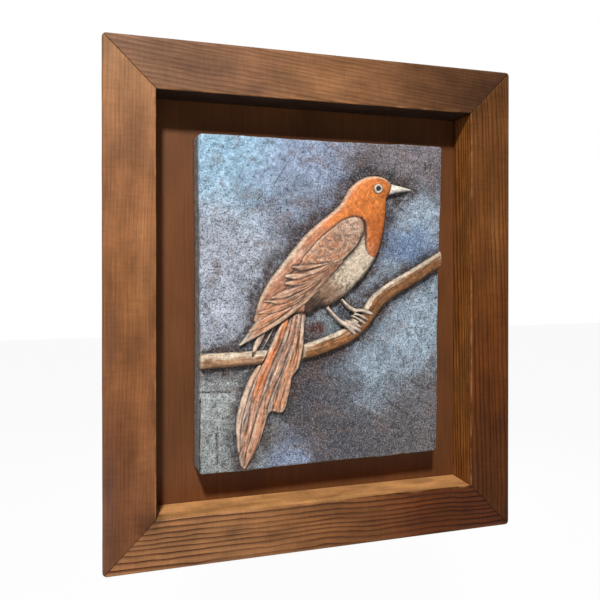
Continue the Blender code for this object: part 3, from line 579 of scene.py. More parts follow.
def layer_paint(layer, points, d, run, aside):
    """A form's own paint, from the distance in from its edge and the places along and beside its spine."""
    kind = layer.kind
    if kind == "branch":
        return branch_paint(points, run, aside)
    colour = body_paint(points, run, aside) if kind == "body" else plain(KIND_COLOURS[kind], points)
    x, z = points.T
    coats = []
    if kind == "orange feather":
        coats.append((paint(196, 148, 122), 0.8 * smooth_step(z, -50, -72)))
    if kind == "tan feather":
        coats.append((paint(148, 146, 142), 0.75 * blob(points, (-16.5, -12), (3.2, 7))))
    if kind in ("body", "wing", "coverts"):
        coats.append((PALE_RIM_AND_HIGHLIGHT, 0.25 * smooth_step(d, 1.2, 0.2) * smooth_step(-aside, -2, 3)))
    if kind == "wing":
        coats += [
            (paint(196, 130, 92), 0.7 * smooth_step(x, -14, -36)),
            (CREAM, 0.38 * smooth_step(-aside, 0.4, 1.8)),
            # A dark line round each wing feather: partly wash, partly painted shadow under the feather above.
            (paint(72, 44, 28), 0.85 * smooth_step(d, 1.0, 0.15)),
        ]
    if kind == "coverts":
        down = along(points, *SHOULDER_LINE)
        coats += [
            (paint(208, 178, 156), 0.8 * smooth_step(down, 0.55, 0.0)),
            (paint(190, 122, 78), 0.6 * smooth_step(down, 0.45, 0.8)),
            (paint(146, 98, 68), 0.6 * smooth_step(mottle(points, 4.5, 17), 0.1, 0.7)),
            (CREAM, 0.35 * smooth_step(mottle(points, 1.4, 18), 0.2, 0.8)),
        ]
    if "feather" in kind:
        coats += [
            (CREAM, 0.45 * smooth_step(np.abs(aside), 1.2, 2.2) * smooth_step(d, 1.3, 0.5)),
            # A dark line round each feather: partly wash, partly painted shade between the feathers.
            (DARK_GROOVE, 0.65 * smooth_step(d, 0.6, 0.0)),
        ]
    for line, _, half_width in layer.grooves:
        away = nearest_on(points, smooth_open(line, GROOVE_STEPS))[1]
        coats.append((DARK_GROOVE, 0.35 * smooth_step(z, 29, 40) * faded(away, half_width / 1.5)))
    if kind == "eye ring":
        ring = np.hypot(x - EYE[0], z - EYE[1])
        coats.append((paint(120, 100, 84), 0.7 * smooth_step(ring, 2.6, 3.2)))
    if kind == "leg":
        coats.append((DARK_GROOVE, 0.6 * smooth_step(d, 0.35, 0.0)))
    return painted(colour, *coats)


def feather_paint(tint, on_wing, number, points, run, aside, fibre):
    """Brown and pale hairs along a feather, warm patches, and a pale tip on the wing."""
    hair = streaks(run / 12, aside / 0.55, 340 + number)
    warm = 0.12 if on_wing else 0.30
    tip = smooth_step(along(points, (-40, -12), WING_TIP), 0.25, 0.85) * on_wing
    return painted(
        tint,
        (paint(86, 54, 38), 0.68 * smooth_step(-fibre, 0.08, 0.40)),
        (paint(232, 206, 182), 0.50 * smooth_step(hair, 0.18, 0.65)),
        (ORANGE, warm * smooth_step(mottle(points, 8, 240 + number), 0.0, 0.8)),
        (paint(188, 178, 166), 0.85 * tip),
    )


def head_strokes():
    """Short strokes cut into the ground, fanning out round the head."""
    strokes = []
    for number in range(26):
        turn = math.radians(-70 + 8.6 * number + 3 * chance(number, 0, 15))
        start, length = 16.0 + 2.2 * chance(number, 1, 15), 4.2 + 2.2 * chance(number, 2, 15)
        out = np.array([math.cos(turn), math.sin(turn) * 0.86])
        middle = np.array(HEAD_MIDDLE, float)
        strokes.append((middle + out * start, middle + out * (start + length), 0.22, 0.45))
    return strokes


def covert_marks():
    """Small curls scored over the wing's shoulder, in rows."""
    marks = []
    for row in range(7):
        for place in range(3):
            middle = np.array([18.0 - 4.9 * row, 46.5 - 3.6 * row]) + (place - 1.0) * np.array([3.0, -4.2])
            middle = middle + 1.1 * np.array([chance(row, place, 1), chance(row, place, 2)])
            start = 2.4 + 1.0 * chance(row, place, 3)
            turn = np.linspace(start, start + 2.6 + 1.0 * chance(row, place, 4), 9)
            for size in (3.4, 2.1):
                size = (size + 0.5 * chance(row, place, 9)) * np.linspace(1, 0.8, 9)[:, None]
                marks.append(middle + size * np.stack([np.cos(turn), np.sin(turn)], axis=1) * (1, 0.72))
    return marks


def ground_paint(points, stroke):
    """The ground's blues, greys and mauves, which drift into each other, with rust and brush marks."""
    drift = 7 * np.stack([mottle(points, 11, seed) for seed in (25, 26)], axis=1)
    drift += 2.4 * np.stack([mottle(points, 3.6, seed) for seed in (27, 28)], axis=1)
    drifted = points + drift
    total = np.zeros(len(points))
    colour = np.zeros((len(points), 3))
    for place, reach, tint in GROUND_PATCHES:
        weight = blob(drifted, place, 0.75 * SPREAD * reach) + 1e-9
        total += weight
        colour += weight[:, None] * tint
    colour /= total[:, None]
    colour *= (1 + 0.20 * mottle(drifted, 9, 23) + 0.16 * mottle(points, 4.2, 24))[:, None]
    colour *= (1 + 0.16 * stroke)[:, None]
    return painted(colour, (paint(112, 90, 80), 0.45 * smooth_step(mottle(drifted, 7, 29), 0.25, 0.9)))


def wash_and_shade_round_figure(points, colour, layers):
    """The paint under a dark wash and painted shade, which gather round the figure, darkest at the foot of
    its forms, and in a few places beside it.
    """
    wash = np.zeros(len(points))
    for place, reach, strength in WASH_AND_SHADE_PATCHES:
        wash = np.maximum(wash, strength * blob(points, place, SPREAD * reach))
    raised = np.full(len(points), -99.0)
    for layer in layers:
        near = layer.near(points, 9.0)
        raised[near] = np.maximum(raised[near], inside_distance(points[near], layer.outline))
    outside = np.maximum(-raised, 0)
    wide = 4.4 + 3.4 * smooth_step(mottle(points, 16, 33), -0.8, 0.6)
    # Darkest at the foot of each form: painted shade there joins the wash.
    halo = 0.80 * np.exp(-outside / 1.6) + 0.82 * faded(outside, wide)
    broken = 0.86 + 0.32 * mottle(points, 1.7, 31) + 0.24 * mottle(points, 5.5, 32)
    wash = np.clip(0.72 * wash + halo, 0, 0.96) * np.clip(broken, 0, 1)
    cool = smooth_step(mottle(points, 9, 34), -0.1, 0.7)
    tint = painted(plain(paint(64, 44, 34), points), (paint(46, 46, 50), cool))
    return painted(colour, (tint, wash))


def marked_ground(points, colour, stroke):
    """The ground's height, and its paint with the scratches and pits."""
    pits = smooth_step(mottle(points, 1.7, 7), 0.55, 0.9)
    ground = 0.11 * mottle(points, 1.5, 1) + 0.15 * mottle(points, 3.4, 2) + 0.18 * mottle(points, 12, 3)
    ground += 0.06 * stroke - PIT_DEPTH * pits
    for start, end, depth, half_width in SCRATCHES + head_strokes():
        away = nearest_on(points, np.array([start, end], float))[1]
        mark = faded(away, half_width * 1.3)
        ground -= depth * mark
        cut, burr = (paint(40, 34, 30), 0.82 * mark), (paint(180, 184, 188), 0.5 * mark)
        colour = painted(colour, cut if depth > 0 else burr)
    for place, size in DEEP_PITS:
        mark = blob(points, place, size * 0.7)
        ground -= DEEP_PIT_DEPTH * mark
        colour = painted(colour, (paint(40, 38, 40), 0.85 * mark))
    return ground * MM, painted(colour, (paint(44, 44, 48), 0.5 * pits))


def carve(points, layers):
    """Height in metres, paint, streak coordinates and how rough the surface is, for each point in squares."""
    slanted = streaks(points @ (0.50, 0.87) / 6, points @ (0.87, -0.50) / 0.9, 36)
    crossed = streaks(points @ (0.94, -0.34) / 5, points @ (0.34, 0.94) / 0.8, 37)
    stroke = np.where(mottle(points, 13, 35) > 0, slanted, crossed)
    colour = wash_and_shade_round_figure(points, ground_paint(points, stroke), layers)
    height, colour = marked_ground(points, colour, stroke)
    strand = points * 1.0
    rough = 0.94 + 0.06 * mottle(points, 9, 13) - 0.42 * blob(points, (-48, 92), (46, 24))
    marks = covert_marks()
    for number, layer in enumerate(layers):
        near = layer.near(points)
        place = points[near]
        d = inside_distance(place, layer.outline)
        keep = d > 0
        near, place, d = near[keep], place[keep], d[keep]
        top = (layer.top(place) - layer.dip * (1 - rounded(d, layer.radius))) * CARVING_DEPTH
        run, aside = place.T
        if layer.spine is not None:
            _, away, run, side = nearest_on(place, layer.spine)
            aside = -side * away
        fibre = 0.6 * streaks(run / 9, aside / 1.25, 40 + number)
        fibre += 0.4 * streaks(run / 4, aside / 0.7, 140 + number)
        top = top + FIBRE_DEPTHS.get(layer.kind, USUAL_FIBRE_DEPTH) * MM * fibre
        for line, depth, half_width in layer.grooves:
            away = nearest_on(place, smooth_open(line, GROOVE_STEPS))[1]
            cut = depth * CARVING_DEPTH * (0.35 + 0.65 * smooth_step(place[:, 1], 30, 42))
            top = top - cut * faded(away, half_width)
        tint = layer_paint(layer, place, d, run, aside)
        if "feather" in layer.kind or layer.kind in ("wing", "tail", "sliver"):
            tint = feather_paint(tint, layer.kind == "wing", number, place, run, aside, fibre)
        tint *= (1 + 0.14 * fibre)[:, None]
        for mark in marks if layer.kind == "coverts" else ():
            away = nearest_on(place, mark)[1]
            top = top - CURL_DEPTH * MM * faded(away, 0.55)
            pale = (paint(222, 192, 168), 0.34 * faded(away - 0.85, 0.35))
            dark = (paint(88, 52, 32), 0.62 * faded(away, 0.45))
            tint = painted(tint, pale, dark)
        height[near] += (top - height[near]) * np.clip(d / layer.edge, 0, 1)
        colour[near] = painted(colour[near], (tint, smooth_step(d, 0.0, 0.3)))
        strand[near] = np.stack([run, aside + 3.7 * number], axis=1)
        rough[near] = ROUGH_FORMS.get(layer.kind, USUAL_ROUGH)
    return height, colour, strand, rough


def window_paint(points, colour, share):
    """A dark red patch in a pale grey ring, on the ground between the tail, the belly and the branch."""
    patch = blob(points, (-6.6, -17.2), (7.0, 4.8), 2)
    ring = blob(points, (-2, -15.4), (13.5, 7.6), 2)
    broken = 0.75 + 0.35 * mottle(points, 1.3, 77)
    return painted(
        colour,
        (paint(132, 146, 150), 0.8 * ring * broken * share),
        (paint(78, 38, 28), np.clip(1.4 * patch * broken, 0, 1) * share),
    )


def on_outlines(points, layers, reach):
    """Points near a form's outline that shows, moved onto it, so that its edge is crisp."""
    moved = points.copy()
    free = np.ones(len(points), bool)
    for number in range(len(layers) - 1, -1, -1):
        layer = layers[number]
        near = layer.near(points, reach)
        near = near[free[near]]
        if not len(near):
            continue
        place, away, _, _ = nearest_on(points[near], layer.outline, closed=True)
        close = away < reach
        moved[near[close]] = place[close]
        free[near[close]] = False
        covered = inside(points[near], layer.outline)
        free[near[covered]] = False
    return moved


def side_curve(ring, start, end, count):
    """Even places along one side of the outline, from one corner's middle to the next."""
    part = ring[np.arange(start, end + 1) % len(ring)]
    length = np.concatenate([[0], np.cumsum(np.linalg.norm(np.diff(part, axis=0), axis=1))])
    at = np.linspace(0, length[-1], count)
    return np.stack([np.interp(at, length, part[:, k]) for k in (0, 1)], axis=1)


def fitted_to_outline(square_places, ring):
    """Places in the square from -1 to 1 spread over the tile's uneven outline."""
    per_side = OUTLINE_STEPS - 1 + len(CORNER_TURNS)
    middle = len(CORNER_TURNS) // 2
    count = 400
    bottom, right, top, left = [
        side_curve(ring, middle + per_side * k, middle + per_side * (k + 1), count) for k in range(4)
    ]
    top, left = top[::-1], left[::-1]
    s, t = (square_places[:, 0] + 1) / 2, (square_places[:, 1] + 1) / 2

    def at(curve, share):
        place = share * (count - 1)
        i = np.minimum(place.astype(int), count - 2)
        return curve[i] + (curve[i + 1] - curve[i]) * (place - i)[:, None]

    s1, t1 = s[:, None], t[:, None]
    blend = (1 - t1) * at(bottom, s) + t1 * at(top, s) + (1 - s1) * at(left, t) + s1 * at(right, t)
    corners = (1 - s1) * (1 - t1) * bottom[0] + s1 * (1 - t1) * bottom[-1]
    corners += (1 - s1) * t1 * top[0] + s1 * t1 * top[-1]
    return blend - corners


def set_places(mesh, places):
    mesh.vertices.foreach_set("co", np.ascontiguousarray(places, np.float32).ravel())
    mesh.update()


def get_places(mesh):
    places = np.empty(len(mesh.vertices) * 3, np.float32)
    mesh.vertices.foreach_get("co", places)
    return places.reshape(-1, 3).astype(float)


def add_attribute(mesh, name, kind, field, values):
    layer = mesh.attributes.new(name, kind, "POINT")
    layer.data.foreach_set(field, np.ascontiguousarray(values, np.float32).ravel())


def add_colour(mesh, name, colours):
    full = np.hstack([np.clip(colours, 0, 1), np.ones((len(colours), 1))])
    add_attribute(mesh, name, "FLOAT_COLOR", "color", full)


def finished(name, bm, material, node):
    """The mesh as a piece of the object, standing for its CAD node."""
    bmesh.ops.recalc_face_normals(bm, faces=bm.faces)
    mesh = bpy.data.meshes.new(name)
    bm.to_mesh(mesh)
    bm.free()
    mesh.shade_smooth()
    mesh.materials.append(material)
    piece = placed(name, mesh)
    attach(piece, "root")
    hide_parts(node)
    return piece


def joined_vertices(mesh):
    pairs = np.empty(len(mesh.edges) * 2, np.int32)
    mesh.edges.foreach_get("vertices", pairs)
    return pairs.reshape(-1, 2)


def evened(values, pairs, rounds):
    """Values averaged over each vertex's neighbours, again and again."""
    count = len(values)
    number = np.bincount(pairs.ravel(), minlength=count)
    for _ in range(rounds):
        total = np.bincount(pairs[:, 0], values[pairs[:, 1]], count)
        total += np.bincount(pairs[:, 1], values[pairs[:, 0]], count)
        values = 0.5 * values + 0.5 * total / number
    return values


def facing_light(places, height, pairs):
    """How far each place of the carving slopes towards its upper left, and away from it below zero."""
    count = len(height)
    run = places[pairs[:, 1]] - places[pairs[:, 0]]
    rate = (height[pairs[:, 1]] - height[pairs[:, 0]]) / np.maximum((run**2).sum(1), 1e-12)
    lean = np.zeros(count)
    for axis, share in ((0, 0.6), (1, -0.8)):
        part = rate * run[:, axis] * share
        lean += np.bincount(pairs[:, 0], part, count) + np.bincount(pairs[:, 1], part, count)
    return np.tanh(lean / np.bincount(pairs.ravel(), minlength=count) * 1.6)


SIDE_DROPS = (0.06, 0.14, 0.26, 0.40, 0.55, 0.70, 0.86, 1.0)
SIDE_SWIRL = 60
OUTLINE_REACH = 0.19


def tile_blank(layers, outline):
    """A grid over the outline, twice as fine on the figure, with sides and a back.

    A vertex's y says how far down the side it is: 0 on the face and 1 at the back.
    """
    bm = bmesh.new()
    bmesh.ops.create_grid(bm, x_segments=TILE_COLUMNS, y_segments=TILE_ROWS, size=1)
    places = fitted_to_outline(np.array([vert.co[:2] for vert in bm.verts]), outline)
    for vert, (x, z) in zip(bm.verts, places):
        vert.co = (x, 0, z)
    squares = places / SQUARE
    on_figure = np.zeros(len(squares), bool)
    for layer in layers:
        near = layer.near(squares, 1.0)
        on_figure[near] |= inside_distance(squares[near], layer.outline) > -0.9
    fine = {face for face in bm.faces if any(on_figure[vert.index] for vert in face.verts)}
    chosen = [edge for edge in bm.edges if any(face in fine for face in edge.link_faces)]
    bmesh.ops.subdivide_edges(bm, edges=chosen, cuts=1, use_grid_fill=True)
    rim = [edge for edge in bm.edges if edge.is_boundary]
    for drop in SIDE_DROPS:
        for made in bmesh.ops.extrude_edge_only(bm, edges=rim)["geom"]:
            if isinstance(made, bmesh.types.BMVert):
                made.co.y = drop
        rim = [edge for edge in bm.edges if edge.is_boundary]
    bmesh.ops.contextual_create(bm, geom=rim)
    return bm


def hollow_wash_and_painted_light(colour, mesh, squares, flat, proud, face, on_ground):
    """The face's paint with painted highlights where it leans to the upper left, towards the lamp, and on its
    crests, painted shade where it leans away, and dark wash with painted shade in its hollows.
    """
    pairs = joined_vertices(mesh)
    hollow = (evened(proud, pairs, 14) - proud) / MM * (1 - 0.55 * on_ground)
    wide = (evened(proud, pairs, 70) - proud) / MM * (1 - on_ground)
    lean = evened(facing_light(flat, proud, pairs), pairs, 2)
    patchy = 0.62 + 0.38 * mottle(squares, 3.2, 94)
    thin = 1 - 0.45 * (1 - on_ground) * smooth_step(mottle(squares, 5, 95), -0.5, 0.6)
    # Painted highlight on slopes that face the lamp at the upper left, painted shade on those that face away,
    # dark wash and painted shade in the hollows, and a painted highlight on crests that face the lamp.
    return painted(
        colour,
        (PALE_RIM_AND_HIGHLIGHT, 0.44 * patchy * smooth_step(lean, 0.36, 0.95) * face),
        (GROOVE_WASH_AND_SHADE, 0.72 * thin * smooth_step(-lean, 0.30, 0.85) * face),
        (GROOVE_WASH_AND_SHADE, 0.55 * smooth_step(wide, 0.04, 0.40) * face),
        (GROOVE_WASH_AND_SHADE, 0.82 * thin * smooth_step(hollow, 0.03, 0.22) * face),
        (CREAM, 0.42 * smooth_step(-hollow, 0.05, 0.32) * face * smooth_step(lean, -0.4, 0.1)),
    )


def make_tile(material):
    layers = carving_layers()
    outline = tile_outline()
    blank = tile_blank(layers, outline)
    mesh = finished("painted_relief_tile", blank, material, "relief_tile").data
    places = get_places(mesh)
    drop = places[:, 1]
    face = drop < 0.001
    side = ~face
    squares = places[:, [0, 2]] / SQUARE
    edge_distance = inside_distance(squares, outline / SQUARE)
    inner = face & (edge_distance > 1.5)
    squares[inner] = on_outlines(squares[inner], layers, OUTLINE_REACH)
    height, colour, strand, rough = carve(squares, layers)

    rim = rounded(np.maximum(edge_distance, 0) * SQUARE, TILE_ARRIS, 2.0)
    proud = height * rim
    chip = smooth_step(mottle(squares, 2.4, 61), 0.35, 0.9) * smooth_step(edge_distance, 1.6, 0.0)
    y = TILE_FACE - proud + TILE_ARRIS * (1 - rim) + CHIP_DEPTH * chip
    start = TILE_FACE + TILE_ARRIS
    y[side] = start + (TILE_BACK - start) * drop[side]
    x = squares[:, 0] * SQUARE * (1 + 2 * TILE_DRAFT / TILE_WIDTH * drop)
    z = squares[:, 1] * SQUARE * (1 + 2 * TILE_DRAFT / TILE_HEIGHT * drop)
    around = np.arctan2(z, x) * SIDE_SWIRL
    rough_side = streaks(around * 1.7, drop * 12, 71)
    uneven = 0.28 * mottle(squares, 9, 62) + 0.06 * mottle(squares, 3, 63)
    uneven -= 0.35 * smooth_step(mottle(squares, 5, 64), 0.55, 0.95)
    uneven *= smooth_step(edge_distance, 3.0, 0.5) * smooth_step(drop, 0.9, 0.3)
    wear = (SIDE_WEAR * rough_side * side * (drop < 0.99) + uneven) * MM
    stretch = 1 + wear / np.hypot(x, z)
    x, z = x * stretch, z * stretch
    set_places(mesh, np.stack([x + TILE_OFFSET_RIGHT, y, z + TILE_OFFSET_UP], axis=1))

    on_ground = face * (rough > 0.45)
    colour = hollow_wash_and_painted_light(colour, mesh, squares, np.stack([x, z], axis=1), proud, face, on_ground)
    colour = window_paint(squares, colour, on_ground)
    side_tint = painted(
        plain(paint(136, 142, 148), squares),
        (paint(182, 172, 162), 0.4 + 0.4 * rough_side),
        (paint(72, 62, 54), 0.65 * smooth_step(streaks(around * 4.1, drop * 16, 72), -0.1, 0.8)),
    )
    edge_light = 0.35 * smooth_step(edge_distance, 1.6, 0.3) * face
    edge_light *= np.clip(0.6 + 0.6 * mottle(squares, 1.6, 91), 0, 1)
    colour = painted(
        colour,
        (side_tint, np.where(side, smooth_step(drop, 0.0, 0.2), 0.0)),
        (paint(178, 178, 176), edge_light),
    )
    add_colour(mesh, "paint", colour)
    add_attribute(mesh, "strand", "FLOAT_VECTOR", "vector", np.stack([*strand.T, drop * 20], axis=1) * MM)
    add_attribute(mesh, "grit", "FLOAT", "value", np.where(side, 0.8, rough))


# The frame's wood.

# How one rail is sawn and stained. Its pith is (across, depth), and its growth rings drift along it and stand
# a spacing apart, with hard parts as proud as its ridge. Bold is how dark the rings are, on the front and on
# the opening's wall, whose tint is wall: the stain with painted light and shade. The tints run from the
# rail's left end to its right one; over the frame they are lighter towards the left, darker towards the
# right.
Rail = namedtuple(
    "Rail", "node name length place turn pith drift spacing ridge bold wall_bold wall tints seed"
)


def rail_section():
    """The rail's section as (across, depth) places in order, close together where it shows."""
    corners = [
        ((0, -BACK_ARRIS), (0, -FRAME_DEPTH), 24),
        ((0, -FRAME_DEPTH), (RAIL_WIDTH, -FRAME_DEPTH), 46),
        ((RAIL_WIDTH, -FRAME_DEPTH), (RAIL_WIDTH, -REBATE_DEPTH), 24),
        ((RAIL_WIDTH, -REBATE_DEPTH), (RAIL_WIDTH - REBATE_WIDTH, -REBATE_DEPTH), 4),
        ((RAIL_WIDTH - REBATE_WIDTH, -REBATE_DEPTH), (RAIL_WIDTH - REBATE_WIDTH, 0), 4),
        ((RAIL_WIDTH - REBATE_WIDTH, 0), (BACK_ARRIS, 0), 6),
        ((BACK_ARRIS, 0), (0, -BACK_ARRIS), 2),
    ]
    places = []
    outward = []
    for (a0, b0), (a1, b1), count in corners:
        run = np.array([a1 - a0, b1 - b0])
        normal = np.array([run[1], -run[0]]) / np.linalg.norm(run)
        for step in range(count):
            share = step / count
            share = 0.5 - 0.5 * math.cos(math.pi * share) if count > 10 else share
            share = 0.5 * (share + step / count)
            places.append((a0 + run[0] * share, b0 + run[1] * share))
            outward.append(normal)
    return np.array(places), np.array(outward)


def clipped_to_outside(places):
    """Places beyond the frame's rounded corners and front arris, brought in to them."""
    half = np.array([FRAME_WIDTH / 2, FRAME_HEIGHT / 2])
    flat = places[:, [0, 2]]
    core = half - OUTER_CORNER_RADIUS
    over = np.abs(flat) - core
    both = (over > 0).all(1)
    far = np.hypot(over[:, 0], over[:, 1])
    beyond = both & (far > OUTER_CORNER_RADIUS)
    pulled = np.sign(flat) * (core + over * (OUTER_CORNER_RADIUS / np.maximum(far, 1e-9))[:, None])
    flat[beyond] = pulled[beyond]
    out = np.abs(flat) - (half - OUTER_CORNER_RADIUS)
    reach = np.where((out > 0).all(1), np.hypot(out[:, 0], out[:, 1]), out.max(1)) - OUTER_CORNER_RADIUS
    side = OUTER_ARRIS + reach
    depth = OUTER_ARRIS - (places[:, 1] + FRAME_DEPTH)
    far = np.hypot(side, depth)
    beyond = (side > 0) & (depth > 0) & (far > OUTER_ARRIS)
    back = (far - OUTER_ARRIS) / np.maximum(far, 1e-9)
    direction = np.where((out > 0), out, 0)
    lead = out.argmax(1)
    direction[np.arange(len(out)), lead] = np.maximum(direction[np.arange(len(out)), lead], 1e-6)
    direction /= np.linalg.norm(direction, axis=1)[:, None]
    flat -= np.sign(flat) * direction * (side * back * beyond)[:, None]
    places[:, 1] += depth * back * beyond
    places[:, [0, 2]] = flat
    return places


def make_rail(rail, material):
    section, outward = rail_section()
    count = len(section)
    bm = bmesh.new()
    bmesh.ops.create_grid(bm, x_segments=RAIL_STEPS, y_segments=count, size=1)
    even, turned = np.array([vert.co[:2] for vert in bm.verts]).T
    step = np.rint((turned + 1) / 2 * count).astype(int) % count
    across, depth = section[step].T
    normal = outward[step]
    reach = rail.length / 2 - across - CLEARANCE / 2 * math.sqrt(2)
    run = (even + MITRE_CLOSENESS * np.sin(math.pi * even) / math.pi) * reach
    _, ridge = grown_rings(rail, run, across, depth)
    wavy = RAIL_WAVE * streaks(run / MM, across / MM + depth / MM, rail.seed, 16)
    bulge = (rail.ridge * ridge + wavy) * (normal[:, 1] < 0.5) * (depth < -0.002)
    across = across + normal[:, 0] * bulge
    depth = depth + normal[:, 1] * bulge
    soft = INNER_ARRIS * (1.1 + 0.7 * streaks(run / MM, run * 0, rail.seed + 1, 7))
    to_side, to_front = across - (RAIL_WIDTH - soft), (soft - FRAME_DEPTH) - depth
    far = np.hypot(to_side, to_front)
    round_off = (to_side > 0) & (to_front > 0) & (far > soft)
    pull = np.where(round_off, 1 - soft / np.maximum(far, 1e-9), 0)
    across -= to_side * pull
    depth += to_front * pull
    cos, sin = math.cos(rail.turn), math.sin(rail.turn)
    x, z = run * cos - across * sin, -run * sin - across * cos
    places = clipped_to_outside(np.stack([x + rail.place[0], depth, z + rail.place[1]], axis=1))
    for vert, place in zip(bm.verts, places):
        vert.co = place
    bmesh.ops.remove_doubles(bm, verts=bm.verts, dist=WELD)
    for _ in range(2):
        rim = [edge for edge in bm.edges if edge.is_boundary]
        if rim:
            bmesh.ops.contextual_create(bm, geom=one_loop(rim))
    piece = finished(rail.name, bm, material, rail.node)
    dress_rail(piece.data, rail)


def one_loop(edges):
    """The edges that are joined end to end with the first one."""
    left = dict.fromkeys(edges[1:])
    loop = [edges[0]]
    for edge in loop:
        for other in [other for vert in edge.verts for other in vert.link_edges if other in left]:
            left.pop(other, None)
            loop.append(other)
    return loop


def grown_rings(rail, run, across, depth):
    """Which growth ring each place of a rail is in, and how proud the ring's hard part stands there."""
    bend = 0.9 * MM * streaks(run / MM, across / MM * 0.5, rail.seed + 2, 38)
    bend += 0.25 * MM * streaks(run / MM, across / MM, rail.seed + 12, 9)
    to_side = across - rail.pith[0] - rail.drift * run - bend
    ring = np.hypot(to_side, depth - rail.pith[1]) / rail.spacing
    ring += 0.30 * streaks(ring * 0.7, run * 0, rail.seed + 13)
    ring += 0.10 * streaks(run / MM / 9, ring, rail.seed + 3)
    share = ring - np.floor(ring)
    return ring, smooth_step(share, 0.35, 0.85) * smooth_step(share, 1.0, 0.9) - 0.4


def rail_places(mesh, rail):
    """Along, across and depth of each vertex, in the rail's own directions."""
    places = get_places(mesh)
    cos, sin = math.cos(rail.turn), math.sin(rail.turn)
    x, z = places[:, 0] - rail.place[0], places[:, 2] - rail.place[1]
    return x * cos - z * sin, -(x * sin + z * cos), places[:, 1]


def dress_rail(mesh, rail):
    """The rail's stain, with painted light and shade on the opening's wall, its inner edge lighter from wear
    and a painted highlight, its smudges, and the places that its fibres and rings follow.
    """
    run, across, depth = rail_places(mesh, rail)
    ring, _ = grown_rings(rail, run, across, depth)
    shares = np.linspace(-1, 1, len(rail.tints))
    at = run / (rail.length / 2)
    colour = np.stack([np.interp(at, shares, channel) for channel in zip(*rail.tints)], axis=1)
    spot = np.stack([run / MM, across / MM + depth / MM], axis=1)
    cloud = 0.6 * mottle(spot * (0.5, 1.0), 11, rail.seed + 4) + 0.4 * mottle(spot, 4, rail.seed + 5)
    colour = colour * (1 + 0.16 * cloud)[:, None]
    front = smooth_step(depth, -FRAME_DEPTH + 2.5 * MM, -FRAME_DEPTH)
    broken_patches = 0.45 + 0.5 * mottle(spot, 9, rail.seed + 6) + 0.3 * mottle(spot, 2.5, rail.seed + 9)
    # Lighter along the inner front edge: partly wear, partly a painted highlight.
    wear = faded(across - RAIL_WIDTH, 0.9 * MM) * front * np.clip(broken_patches, 0, 1)
    # The opening's wall takes the rail's wall tint, its stain with painted light and shade.
    inner = smooth_step(across, RAIL_WIDTH - 0.7 * MM, RAIL_WIDTH - 0.2 * MM)
    inner *= smooth_step(depth, -FRAME_DEPTH + 0.4 * MM, -FRAME_DEPTH + 1.4 * MM)
    wall = np.array(rail.wall) * (1 + 0.18 * streaks(run / MM, depth / MM * 2, rail.seed + 7, 9))[:, None]
    colour = painted(
        colour,
        (paint(190, 134, 86), 0.6 * wear),
        (paint(150, 112, 78), 0.25 * faded(across, 1.2 * MM) * front),
        (wall, inner),
    )
    places = get_places(mesh)[:, [0, 2]] / MM
    near_front = depth < -FRAME_DEPTH + 8 * MM
    for place, reach, tint, strength in STAINS:
        cloud = blob(places, place, reach) * (0.8 + 0.3 * mottle(places, 3, 55))
        colour = painted(colour, (tint, strength * np.clip(cloud, 0, 1) * near_front))
    add_colour(mesh, "stain", colour)
    bold = rail.bold + (rail.wall_bold - rail.bold) * inner
    bold = np.clip(bold * (1 + 0.5 * mottle(spot * (0.3, 1), 9, rail.seed + 8)), 0, 1)
    add_attribute(mesh, "bold", "FLOAT", "value", bold)
    add_attribute(mesh, "ring", "FLOAT", "value", ring)
    add_attribute(mesh, "grain", "FLOAT_VECTOR", "vector", np.stack([run, across, depth], axis=1))


# Smudges and dark places on the frame, in millimetres from its middle: place, reach, colour, strength.
SMUDGE = paint(66, 46, 40)
BURNT = paint(40, 22, 14)
STAINS = [
    ((-45, 131), (9, 5), SMUDGE, 0.45), ((-46, 125), (3.4, 1.6), BURNT, 0.75),
    ((-70, 140), (16, 7), SMUDGE, 0.22), ((118, 140), (16, 12), BURNT, 0.35),
    ((96, 132), (14, 5), BURNT, 0.3), ((-108, -131), (8, 5), BURNT, 0.5),
    ((-104, -126), (4, 2.5), BURNT, 0.6), ((-60, -140), (9, 4), BURNT, 0.45),
    ((-30, -146), (18, 4), BURNT, 0.4), ((10, -136), (12, 4), BURNT, 0.3),
    ((-132, -110), (4, 40), paint(84, 60, 58), 0.6),
    ((-130, -20), (4, 30), paint(110, 76, 60), 0.35), ((114, -60), (10, 30), paint(70, 28, 10), 0.3),
    ((124, 40), (5, 26), paint(150, 102, 58), 0.35), ((-112, 30), (5, 40), paint(176, 124, 82), 0.35),
    ((-110, -84), (6, 20), paint(176, 118, 72), 0.3), ((-122, 90), (7, 12), paint(122, 82, 56), 0.35),
]


# Materials.

